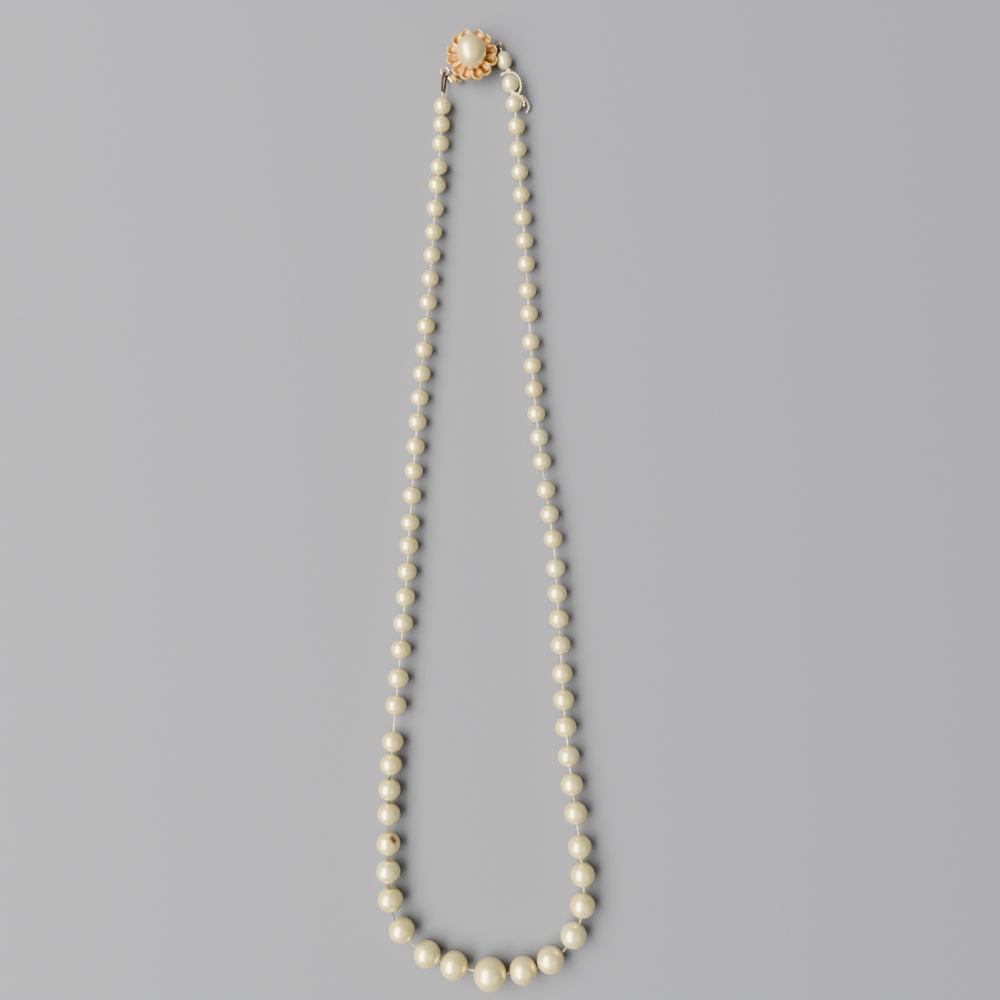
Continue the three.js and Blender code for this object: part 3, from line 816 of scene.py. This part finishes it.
def loop_path(centre, hole, lean):
    """The loop of thread from a pearl's hole, over the ring, down through it and back to the hole."""
    away = Vector((hole.x - centre.x, hole.y - centre.y, 0))
    reach = away.length
    away.normalize()
    side = Vector((-away.y, away.x, 0)) * lean * 0.3 * MM
    clear = RING_WIRE / 2 + GIMP_RADIUS + GIMP_WIRE / 2
    edge = RING_RADIUS + RING_WIRE / 2
    low = max(centre.z - clear, GIMP_RADIUS + GIMP_WIRE / 2)

    def at(distance, z, across=0.0):
        return centre.xy.to_3d() + away * distance + side * across + Vector((0, 0, z))

    return smooth_path([
        at(reach + 0.9 * MM, hole.z + 0.1 * MM), at(reach - 0.2 * MM, hole.z + 0.15 * MM, 0.4),
        at((reach + edge) / 2, hole.z + 0.2 * MM, 1.0), at(edge, centre.z + clear + 0.1 * MM, 0.9),
        at(RING_RADIUS * 0.6, centre.z + clear, 0.4), at(RING_RADIUS - clear, centre.z),
        at(RING_RADIUS * 0.75, low, -0.4), at(edge + 0.2 * MM, low, -0.9),
        at((reach + edge) / 2, hole.z - 0.45 * MM, -1.0), at(reach - 0.2 * MM, hole.z - 0.1 * MM, -0.4),
        at(reach + 0.9 * MM, hole.z - 0.1 * MM),
    ], 0.08 * MM)


def gimp_tree(material):
    """Sets a turn of fine wire square to the path at every step along it."""
    tree, given, known = new_tree("gimp_turns", radius=("Turn Radius", "Float"), wire=("Wire", "Float"))
    half = add_node(tree, "ShaderNodeMath", {0: given.outputs["Wire"]}, {1: 0.5}, operation="MULTIPLY")
    ring = add_node(tree, "GeometryNodeCurvePrimitiveCircle", {"Radius": given.outputs["Turn Radius"]},
                    {"Resolution": 18}, mode="RADIUS")
    section = add_node(tree, "GeometryNodeCurvePrimitiveCircle", {"Radius": half.outputs[0]},
                       {"Resolution": 7}, mode="RADIUS")
    turn = add_node(tree, "GeometryNodeCurveToMesh",
                    {"Curve": ring.outputs["Curve"], "Profile Curve": section.outputs["Curve"]})
    step = add_node(tree, "ShaderNodeMath", {0: given.outputs["Wire"]}, {1: 1.06}, operation="MULTIPLY")
    curve = add_node(tree, "GeometryNodeMeshToCurve", {"Mesh": given.outputs["Geometry"]})
    points = add_node(tree, "GeometryNodeCurveToPoints",
                      {"Curve": curve.outputs["Curve"], "Length": step.outputs[0]}, mode="LENGTH")
    placed = add_node(tree, "GeometryNodeInstanceOnPoints", {
        "Points": points.outputs["Points"], "Instance": turn.outputs["Mesh"],
        "Rotation": points.outputs["Rotation"]})
    finish_tree(tree, placed.outputs["Instances"], material)
    return tree, known


class NECKLACE_OT_gimp(bpy.types.Operator):
    """Cover the thread loops at the clasp's rings with fine coiled wire"""

    bl_idname = "necklace.gimp"
    bl_label = "Gimp Loops"

    def execute(self, context):
        gimp_nodes = gimp_tree(gold_material("dark_coiled_gimp"))
        silk_nodes = silk_tree(silk_material())
        for side, (ring, lean, covers) in LOOPS.items():
            body = f"{side}_strand_1"
            hole = groups_on(side, 1)[0]["start"]
            path = loop_path(ring_centre(f"{side}_bend_1", ring), hole, lean)
            covered = path[int(covers[0] * len(path)):int(covers[1] * len(path))]
            coil = bake_nodes(line_object(covered), f"gimp_coil_{side}", gimp_nodes,
                              radius=GIMP_RADIUS, wire=GIMP_WIRE)
            place(coil, body, stands_for=[f"gimp_{side}"])
            place(twisted_silk(f"thread_loop_{side}", path, silk_nodes, LOOP_THREAD), body)
        return {"FINISHED"}


# The loose ends of the thread, in millimetres from the middle of the right strand's second pearl.
# The tail starts above that pearl and curls round it to a knot in the gap below, where two frayed
# ends go on beside the third pearl. The stub ties it to the strung thread in the gap above.
TAIL_ROUTE = [
    (-2.1, 1.72, 0.65), (-1.4, 2.12, 0.7), (-0.55, 2.36, 0.6), (0.25, 2.36, 0.6), (1.12, 2.0, 0.6),
    (1.85, 1.22, 0.5), (2.33, 0.08, 0.4), (2.37, -1.0, 0.4), (2.05, -1.95, 0.4), (1.5, -2.5, 0.5),
    (0.6, -2.2, 0.5),
]
STUB_ROUTE = [(-0.5, 3.15, 0.05), (-0.45, 2.85, 0.3), (-0.3, 2.45, 0.62), (0.1, 2.3, 0.68)]
NEAR_END = [(0.7, -2.2, 0.5), (1.3, -2.48, 0.85), (1.94, -2.9, 1.05), (2.66, -3.62, 0.9), (3.07, -4.4, 0.7),
            (3.0, -5.2, 0.5)]
FAR_END = [(0.7, -2.3, 0.3), (1.9, -2.6, 0.2), (2.7, -2.8, 0.0), (3.4, -3.35, -0.3), (4.02, -4.3, -0.8),
           (4.15, -5.1, -1.2), (3.65, -5.9, -1.4)]
ENDS = {"tail_loop": TAIL_ROUTE, "tail_stub": STUB_ROUTE, "tail_near": NEAR_END, "tail_far": FAR_END}
KNOTS = {"knot_upper": (-0.45, 2.85, 0.25), "knot_lower": (0.55, -2.15, 0.45)}
KNOT_SIZE = 0.3 * MM
KNOT_STEPS = 47
TAIL = 0.56 * MM  # the loose thread has untwisted, so it is thicker than the strung thread


def overhand_knot(centre, size):
    """The path of a pulled overhand knot, as a trefoil of about that size."""
    points = []
    for k in range(KNOT_STEPS + 1):
        t = 2 * math.pi * k / KNOT_STEPS
        points.append(Vector(centre) + size * Vector((
            (math.sin(t) + 2 * math.sin(2 * t)) / 3, (math.cos(t) - 2 * math.cos(2 * t)) / 3,
            -math.sin(3 * t) / 2.2)))
    return points


class NECKLACE_OT_knot_and_tail(bpy.types.Operator):
    """Tie the knot and lay the loose thread ends beside the first pearls of the right strand"""

    bl_idname = "necklace.knot_and_tail"
    bl_label = "Knot and Loose Ends"

    def execute(self, context):
        nodes = silk_tree(silk_material())
        second = groups_on("right", 1)[1]["pearls"][0]["centre"]
        paths = {name: smooth_path([second + Vector(p) * MM for p in route], 0.08 * MM)
                 for name, route in ENDS.items()}
        for name, at in KNOTS.items():
            paths[name] = overhand_knot(second + Vector(at) * MM, KNOT_SIZE)
        for name, path in paths.items():
            made = twisted_silk(name, path, nodes, TAIL, clean=True)
            place(made, "right_strand_1", stands_for=["knot_and_tail"] if name == "tail_loop" else ())
        return {"FINISHED"}


# ---------------------------------------------------------------------------------------------
# Flower, set pearl and clasp
# ---------------------------------------------------------------------------------------------

PETALS = 6
LOBE_SPREAD = math.radians(13.2)  # from a petal's middle to the middle of either of its lobes
LOBE_CENTRE = 4.46 * MM  # from the flower's middle
LOBE_RADIUS = 1.34 * MM
LOBE_ROOT = 1.9 * MM  # where the hollow of a lobe starts, under the pearl
FLOWER_HOLE = 1.2 * MM
RIM_AT = 0.83  # how far across a lobe its raised rim stands
RIM_WIDTH = 0.17
DISH = 0.78 * MM
RIM_DROP = 0.42 * MM
AROUND = 720  # columns of points round the flower
ACROSS = 44  # rows of points over its face
HAMMERED = 0.08 * MM  # height of the unevenness of the stamped gold
HAMMERED_SIZE = 0.8 * MM
UNDERSIDE = 0.28 * MM  # how far the flower's underside is below its CAD node's


def middle_of(node):
    low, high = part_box(node)
    return (low + high) / 2


def lobe_angles():
    return [2 * math.pi * p / PETALS + s * LOBE_SPREAD for p in range(PETALS) for s in (-1, 1)]


def lobe_share(x, y):
    """How far a point is across the nearest lobe, from 0 on its middle line to 1 at its edge."""
    nearest = 9.0
    for angle in lobe_angles():
        along = x * math.cos(angle) + y * math.sin(angle)
        off = -x * math.sin(angle) + y * math.cos(angle)
        on_line = min(max(along, LOBE_ROOT), LOBE_CENTRE)
        share = (on_line - LOBE_ROOT) / (LOBE_CENTRE - LOBE_ROOT)
        width = LOBE_RADIUS * (0.42 + 0.58 * share ** 0.8)
        nearest = min(nearest, math.hypot(along - on_line, off) / width)
    return nearest


def flower_edge(angle):
    """The flower's outer radius in a direction: where the way out leaves the last lobe."""
    inside = LOBE_CENTRE - 0.4 * LOBE_RADIUS
    for lobe in lobe_angles():
        turn = math.remainder(angle - lobe, 2 * math.pi)
        chord = LOBE_RADIUS ** 2 - (LOBE_CENTRE * math.sin(turn)) ** 2
        if chord > 0 and math.cos(turn) > 0:
            inside = max(inside, LOBE_CENTRE * math.cos(turn) + math.sqrt(chord))
    return inside


def lobe_height(share, top):
    """Height of a dished lobe with a rounded raised rim, and how deep in the dish that is, which is how much
    painted shade it gets.
    """
    if share <= RIM_AT:
        rise = (share / RIM_AT) ** 2.2
        return top - DISH * (1 - rise), 1 - rise
    fall = min(1.5, (share - RIM_AT) / RIM_WIDTH)
    return top - RIM_DROP * fall ** 2, max(0.0, fall - 1) * 1.2


class NECKLACE_OT_flower(bpy.types.Operator):
    """Make the rose gold flower: six heart-shaped petals, each with two hollow lobes"""

    bl_idname = "necklace.flower"
    bl_label = "Flower"

    def execute(self, context):
        middle = middle_of("clasp_back_plate")
        low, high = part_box("flower_rosette")
        under = low.z - UNDERSIDE
        rows, recess = [[] for _ in range(ACROSS + 5)], [[] for _ in range(ACROSS + 5)]
        for k in range(AROUND):
            angle = 2 * math.pi * k / AROUND
            way = Vector((math.cos(angle), math.sin(angle), 0))
            edge = flower_edge(angle)
            for i in range(ACROSS):
                share = i / (ACROSS - 1)
                reach = FLOWER_HOLE + (edge - FLOWER_HOLE) * (1 - (1 - share) ** 1.5)
                spot = way * reach
                height, deep = lobe_height(lobe_share(spot.x, spot.y), high.z)
                wobble = HAMMERED * noise.noise(spot / HAMMERED_SIZE)
                rows[i].append(middle.xy.to_3d() + spot + Vector((0, 0, height + wobble)))
                recess[i].append(deep)
            last = rows[ACROSS - 1][-1].z
            # The way back under the edge to the hole: reach, height and how deep in shadow.
            turned_in = (
                (edge - 0.02 * MM, last - 0.12 * MM, 0.1), (edge - 0.1 * MM, (last + under) / 2, 0.6),
                (edge - 0.45 * MM, under + 0.1 * MM, 0.9), (edge - 1.1 * MM, under, 1.0),
                (FLOWER_HOLE, under, 1.0),
            )
            for j, (reach, z, deep) in enumerate(turned_in):
                rows[ACROSS + j].append(middle.xy.to_3d() + way * reach + Vector((0, 0, z)))
                recess[ACROSS + j].append(deep)
        vertices = [v for row in rows for v in row]
        flower = mesh_object("flower", vertices, grid_faces(len(rows), AROUND, wrap_rows=True))
        face_outward(flower)
        # The recess values darken the gold as painted shade: in each lobe's dish, outside its rim and under
        # the flower's edge.
        point_attribute(flower, "recess", [d for row in recess for d in row])
        place(flower, "clasp", gold_material("rose_gold_tarnish_and_painted_shade"), ["flower_rosette"])
        return {"FINISHED"}


SET_BANDS = 60
SET_LEAN = math.radians(5)  # how far the set pearl is turned from the row's own line
SET_TONE = 0.9
PEG = 0.35 * MM  # radius of the peg that the set pearl stands on
CUP_RISE = 0.6 * MM


class NECKLACE_OT_set_pearl(bpy.types.Operator):
    """Set the egg-shaped pearl on its cup and peg in the middle of the flower"""

    bl_idname = "necklace.set_pearl"
    bl_label = "Set Pearl"

    def execute(self, context):
        low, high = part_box("clasp_pearl")
        width, length = (high.x - low.x) / 2, (high.y - low.y) / 2
        middle = Vector(((low.x + high.x) / 2, (low.y + high.y) / 2, high.z - width))
        cut = math.acos((middle.z - low.z) / width)
        angles = [cut + (math.pi - cut) * k / SET_BANDS for k in range(SET_BANDS)]
        profile = [(0.0, -math.cos(cut)), *((math.sin(a), -math.cos(a)) for a in angles), (0.0, 1.0)]
        pearl = lathe("nacre_set", profile, 96)
        lean = Matrix.Rotation(SET_LEAN, 3, "Z")
        for vertex in pearl.data.vertices:
            x, y, z = vertex.co
            swell = 1 + 0.075 * y - 0.05 * y * y
            shape = lean @ Vector((x * width * swell, y * length, z * width * (1 + 0.03 * y)))
            grown = 0.012 * noise.noise(vertex.co * 1.4 + Vector((3, 1, 2)))
            vertex.co = middle + shape * (1 + grown)
        point_attribute(pearl, "tint", [SET_TONE] * len(pearl.data.vertices))
        point_attribute(pearl, "mark", [0.0] * len(pearl.data.vertices))
        place(pearl, "clasp", nacre_material(), ["clasp_pearl"])
        low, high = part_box("pearl_cup")
        radius, floor, lip = (high.x - low.x) / 2, low.z, low.z + CUP_RISE
        profile = rounded([
            (0, floor), (radius, floor), (radius + 0.25 * MM, lip), (radius + 0.1 * MM, lip),
            (radius - 0.15 * MM, floor + 0.25 * MM), (PEG, floor + 0.3 * MM), (PEG, high.z), (0, high.z),
        ], 0.08 * MM)
        cup = lathe("cup_and_peg", profile, 64, (middle.x, middle.y, 0))
        place(cup, "clasp", gold_material("shaded_rose_gold"), ["pearl_cup"])
        return {"FINISHED"}


TONGUE_AXIS = Vector(JOINTS["tongue_slide"]["axis"]).normalized()


def tongue_place(along, across, height):
    """A point given along the tongue, across it and above the floor, all in metres."""
    side = Vector((-TONGUE_AXIS.y, TONGUE_AXIS.x, 0))
    middle = middle_of("clasp_back_plate").xy.to_3d()
    return middle + TONGUE_AXIS * along + side * across + Vector((0, 0, height))


def bar_section(low, high, thick, corner):
    """A bar's outline with four points round each corner, as (across, up) points."""
    points = []
    for x, y, turn in ((high - corner, 1, 0), (low + corner, 1, 1), (low + corner, -1, 2),
                       (high - corner, -1, 3)):
        for angle in (math.pi / 2 * (turn + k / 3) for k in range(4)):
            points.append((x + corner * math.cos(angle), y * (thick / 2 - corner) + corner * math.sin(angle)))
    return points


def strip(name, spine, thick):
    """Bent sheet metal along the tongue: spine rows are (along, height, low edge, high edge) in mm."""
    vertices = []
    for i, (along, height, low, high) in enumerate(spine):
        before, after = spine[max(i - 1, 0)], spine[min(i + 1, len(spine) - 1)]
        run = Vector((after[0] - before[0], after[1] - before[1])).normalized()
        thinned = thick * (0.7 if i in (0, len(spine) - 1) else 1.0)
        outline = bar_section(low, high, thinned, 0.3 * thick)
        vertices += [tongue_place((along - run.y * y) * MM, x * MM, (height + run.x * y) * MM)
                     for x, y in outline]
    columns = len(outline)
    last = (len(spine) - 1) * columns
    faces = grid_faces(len(spine), columns)
    faces += [tuple(range(columns)), tuple(range(last, last + columns))]
    obj = mesh_object(name, vertices, faces)
    face_outward(obj)
    return obj


def smooth_rows(rows, spacing):
    """More rows between those given: the spine on a smooth line, the edges in straight steps."""
    out = []
    for i in range(len(rows) - 1):
        four = rows[max(i - 1, 0)], rows[i], rows[i + 1], rows[min(i + 2, len(rows) - 1)]
        before, after = four[1:3]
        steps = max(1, round(math.dist(before[:2], after[:2]) / spacing))
        for t in (k / steps for k in range(steps)):
            spine = (smooth_step(*(row[a] for row in four), t) for a in (0, 1))
            out.append((*spine, *(before[a] + (after[a] - before[a]) * t for a in (2, 3))))
    out.append(rows[-1])
    return out


RING_STEPS = 72
WIRE_SIDES = 18
STEM_STEPS = 10
STEM_FLARE = 0.8  # how much wider the stem is at its ends
BAND_REACH = 0.06 * MM  # how far the band round the box stands out
WALL = 0.4 * MM
HALF_MOUTH = 1.65 * MM  # half the width of the slot for the tongue
BOX_STEPS = 150
TURNED = 120  # segments of the round parts of the clasp


def wire_ring(name, centre, stem_from, radius=RING_RADIUS, wire=RING_WIRE):
    """A wire ring on a solder stem, which spreads sideways where it meets the metal at its ends."""
    vertices = []
    for angle in (2 * math.pi * k / RING_STEPS for k in range(RING_STEPS)):
        way = Vector((radius * math.cos(angle), radius * math.sin(angle), 0))
        out = way.normalized()
        vertices += [centre + way + out * x + Vector((0, 0, y))
                     for x, y in round_section(wire / 2, WIRE_SIDES)]
    obj = mesh_object(name, vertices, grid_faces(RING_STEPS, WIRE_SIDES, wrap_rows=True))
    reach = (centre - stem_from).normalized()
    path = [stem_from.lerp(centre - reach * radius, k / STEM_STEPS) for k in range(STEM_STEPS + 1)]

    def stem_section(share):
        flare = 1 + STEM_FLARE * (2 * share - 1) ** 4
        return round_section(wire / 2 * flare, WIRE_SIDES, 1 / flare)

    join(obj, sweep("stem", path, stem_section))
    face_outward(obj)
    return obj


class NECKLACE_OT_clasp_box(bpy.types.Operator):
    """Make the clasp's round box, its back plate and the two wire rings soldered to it"""

    bl_idname = "necklace.clasp_box"
    bl_label = "Clasp Box"

    def execute(self, context):
        gold, dark = gold_material("shaded_rose_gold"), gold_material("tarnished_gold_wire")
        middle = middle_of("clasp_back_plate").xy.to_3d()
        low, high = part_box("clasp_back_plate")
        radius, thick = (high.x - low.x) / 2, high.z
        plate = lathe("back_plate", rounded(
            [(0, 0), (radius, 0), (radius, thick), (0, thick)], 0.14 * MM), TURNED, middle)
        place(plate, "clasp", gold, ["clasp_back_plate"])
        self.make_box(middle, gold, thick)
        low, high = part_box("guard_ring")
        wire = high.z - low.z
        corner = Vector((GUARD_RADIUS + wire / 2, GUARD_RADIUS + wire / 2, wire / 2))
        stem_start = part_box("clasp_box")[1].x - middle.x - 0.1 * MM
        for name, node, centre, radius, thick in (
            ("ring_for_strand", "box_ring", ring_centre("right_bend_1", "box_ring"), RING_RADIUS, RING_WIRE),
            ("ring_for_guard", "guard_ring", low + corner, GUARD_RADIUS, wire),
        ):
            way = (centre - middle).xy.to_3d().normalized()
            stem = middle + way * stem_start + Vector((0, 0, centre.z))
            place(wire_ring(name, centre, stem, radius, thick), "clasp", dark, [node])
        return {"FINISHED"}

    def make_box(self, middle, gold, floor):
        """The box's wall, open at the tongue's mouth, with its lid and the band round its seam."""
        low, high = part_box("clasp_box")
        outer, top, seam = (high.x - low.x) / 2, high.z, high.z - WALL
        heading = math.atan2(TONGUE_AXIS.y, TONGUE_AXIS.x)
        spread = math.asin(HALF_MOUTH / outer)
        wall = outer - WALL
        profile = rounded([(wall, floor), (outer, floor), (outer, top), (wall, top)], 0.1 * MM)
        vertices = []
        for k in range(BOX_STEPS + 1):
            angle = heading + spread + (2 * math.pi - 2 * spread) * k / BOX_STEPS
            vertices += [middle + Vector((r * math.cos(angle), r * math.sin(angle), z)) for r, z in profile]
        columns = len(profile)
        last = BOX_STEPS * columns
        faces = grid_faces(BOX_STEPS + 1, columns)
        faces += [tuple(range(columns)), tuple(range(last, last + columns))]
        box = mesh_object("box_shell", vertices, faces)
        face_outward(box)
        lid = rounded([(0, seam), (outer, seam), (outer, top), (0, top)], 0.1 * MM)
        inner, proud = outer - 0.1 * MM, outer + BAND_REACH
        band = rounded([(inner, seam - 0.12 * MM), (proud, seam - 0.1 * MM), (proud, seam + 0.1 * MM),
                        (inner, seam + 0.12 * MM)], 0.05 * MM)
        join(box, lathe("lid", lid, TURNED, middle), lathe("band", band, TURNED, middle))
        place(box, "clasp", gold, ["clasp_box"])


# Rows along the tongue's strip, which starts folded under the leaf, and along the leaf, which ends
# in a curled thumb tab: (along, height, low edge, high edge) in millimetres.
BASE_ROWS = (
    (-2.3, 1.62, -1.0, 1.0), (-2.75, 1.5, -1.0, 1.0), (-2.98, 1.2, -1.05, 1.05), (-2.7, 0.93, -1.2, 1.2),
    (-2.1, 0.9, -1.3, 1.3), (2.0, 0.9, -1.3, 1.3), (4.7, 0.9, -1.3, 1.3), (5.0, 0.9, -1.15, 1.15),
)
LEAF_ROWS = (
    (-2.4, 1.46, -1.1, 1.1), (-1.0, 1.5, -1.2, 1.2), (2.0, 1.6, -1.2, 1.2), (4.7, 1.68, -1.2, 1.2),
    (5.05, 1.72, 0.1, 1.75), (5.5, 1.9, 0.1, 1.75), (6.2, 1.95, 0.1, 1.75), (6.75, 2.08, 0.12, 1.73),
    (7.08, 2.4, 0.15, 1.7), (6.85, 2.66, 0.2, 1.65), (6.45, 2.6, 0.25, 1.6),
)


class NECKLACE_OT_tongue(bpy.types.Operator):
    """Make the sprung tongue: its base, the folded leaf with a thumb tab, and the strand's ring"""

    bl_idname = "necklace.tongue"
    bl_label = "Sprung Tongue"

    def execute(self, context):
        gold, pale = gold_material("shaded_rose_gold"), gold_material("pale_gold_wire")
        place(strip("tongue_strip", smooth_rows(BASE_ROWS, 0.2), 0.28), "tongue", gold,
              ["tongue_base"])
        place(strip("spring_leaf", smooth_rows(LEAF_ROWS, 0.12), 0.2), "spring_leaf", gold,
              ["tongue_spring"])
        centre = ring_centre("left_bend_1", "tongue_ring")
        side = Vector((-TONGUE_AXIS.y, TONGUE_AXIS.x, 0))
        across = (centre - middle_of("clasp_back_plate")).dot(side)
        ring = wire_ring("ring_on_tongue", centre, tongue_place(4.7 * MM, across + 0.9 * MM, centre.z))
        place(ring, "tongue", pale, ["tongue_ring"])
        return {"FINISHED"}


# ---------------------------------------------------------------------------------------------
# Stage, panel and the run
# ---------------------------------------------------------------------------------------------

AIM = (0.00322, 0.0023)  # metres right of and above the middle of the necklace's box
FLOOR = -0.01 * MM  # just under the pearls
FLOOR_HALF = 1.0
SENSOR = 36.0  # millimetres wide
SKY, SKY_STRENGTH = "#EEF1F5", 0.26
# Name, place in metres, length, width and power in watts of each soft light, which faces the origin.
LIGHTS = (
    ("window", (-0.68, -0.03, 0.78), 1.6, 0.7, 74.0),
    ("fill", (0.5, -0.3, 0.9), 0.9, 0.9, 2.0),
)


def floor_material():
    """Painted board: rolled matt paint, pale and plain, so the pearls' colours show."""
    material, tree, shader = fresh_material("painted_board")
    finish_with(tree, shader, {
        "Base Color": linear(settings("necklace_stage").floor), "Roughness": 0.9, "Specular IOR Level": 0.2})
    return material


class NECKLACE_OT_stage(bpy.types.Operator):
    """Set up the camera straight overhead, a plain pale floor and soft light from the left"""

    bl_idname = "necklace.stage"
    bl_label = "Stage"

    def execute(self, context):
        stage = settings("necklace_stage")
        scene = context.scene
        camera = in_scene("camera", bpy.data.cameras.new("camera"))
        camera.location = (*AIM, stage.height)
        camera.data.lens, camera.data.sensor_width = stage.lens, SENSOR
        camera.data.clip_start, camera.data.clip_end = 0.01, 10.0
        scene.camera = camera
        corners = [(x * FLOOR_HALF, y * FLOOR_HALF, FLOOR) for x, y in ((-1, -1), (1, -1), (1, 1), (-1, 1))]
        floor = mesh_object("floor", corners, [(0, 1, 2, 3)], smooth=False)
        floor.data.materials.append(floor_material())
        for name, where, long, wide, power in LIGHTS:
            light = in_scene(name, bpy.data.lights.new(name, "AREA"))
            light.location = Vector(where)
            light.rotation_euler = (-light.location).to_track_quat("-Z", "Y").to_euler()
            light.data.shape, light.data.size, light.data.size_y = "RECTANGLE", long, wide
            light.data.energy = power
        world = bpy.data.worlds.new("studio")
        scene.world = world
        world.use_nodes = True
        sky = world.node_tree.nodes["Background"].inputs
        sky["Color"].default_value, sky["Strength"].default_value = linear(SKY), SKY_STRENGTH
        return {"FINISHED"}


SETTINGS = {
    "necklace_pearls": PearlSettings,
    "necklace_silk": SilkSettings,
    "necklace_clasp": ClaspSettings,
    "necklace_stage": StageSettings,
}
OPERATORS = (
    NECKLACE_OT_stage, NECKLACE_OT_strung_pearls, NECKLACE_OT_silk, NECKLACE_OT_gimp,
    NECKLACE_OT_knot_and_tail, NECKLACE_OT_flower, NECKLACE_OT_set_pearl, NECKLACE_OT_clasp_box,
    NECKLACE_OT_tongue,
)


class NECKLACE_PT_panel(bpy.types.Panel):
    """Lists the necklace's pieces"""

    bl_idname = "NECKLACE_PT_panel"
    bl_label = "Pearl Necklace"
    bl_space_type = "VIEW_3D"
    bl_region_type = "UI"
    bl_category = "Necklace"

    def draw(self, context):
        for name in SETTINGS:
            group = getattr(context.scene, name)
            for key in group.__annotations__:
                self.layout.prop(group, key)
        for operator in OPERATORS:
            self.layout.operator(operator.bl_idname)


def register():
    for kind in (*SETTINGS.values(), *OPERATORS, NECKLACE_PT_panel):
        bpy.utils.register_class(kind)
    for name, kind in SETTINGS.items():
        setattr(bpy.types.Scene, name, bpy.props.PointerProperty(type=kind))


def unregister():
    for name in SETTINGS:
        delattr(bpy.types.Scene, name)
    for kind in reversed((*SETTINGS.values(), *OPERATORS, NECKLACE_PT_panel)):
        bpy.utils.unregister_class(kind)


def main():
    register()
    for operator in OPERATORS:
        group, name = operator.bl_idname.split(".")
        getattr(getattr(bpy.ops, group), name)()


if __name__ == "__main__":
    main()
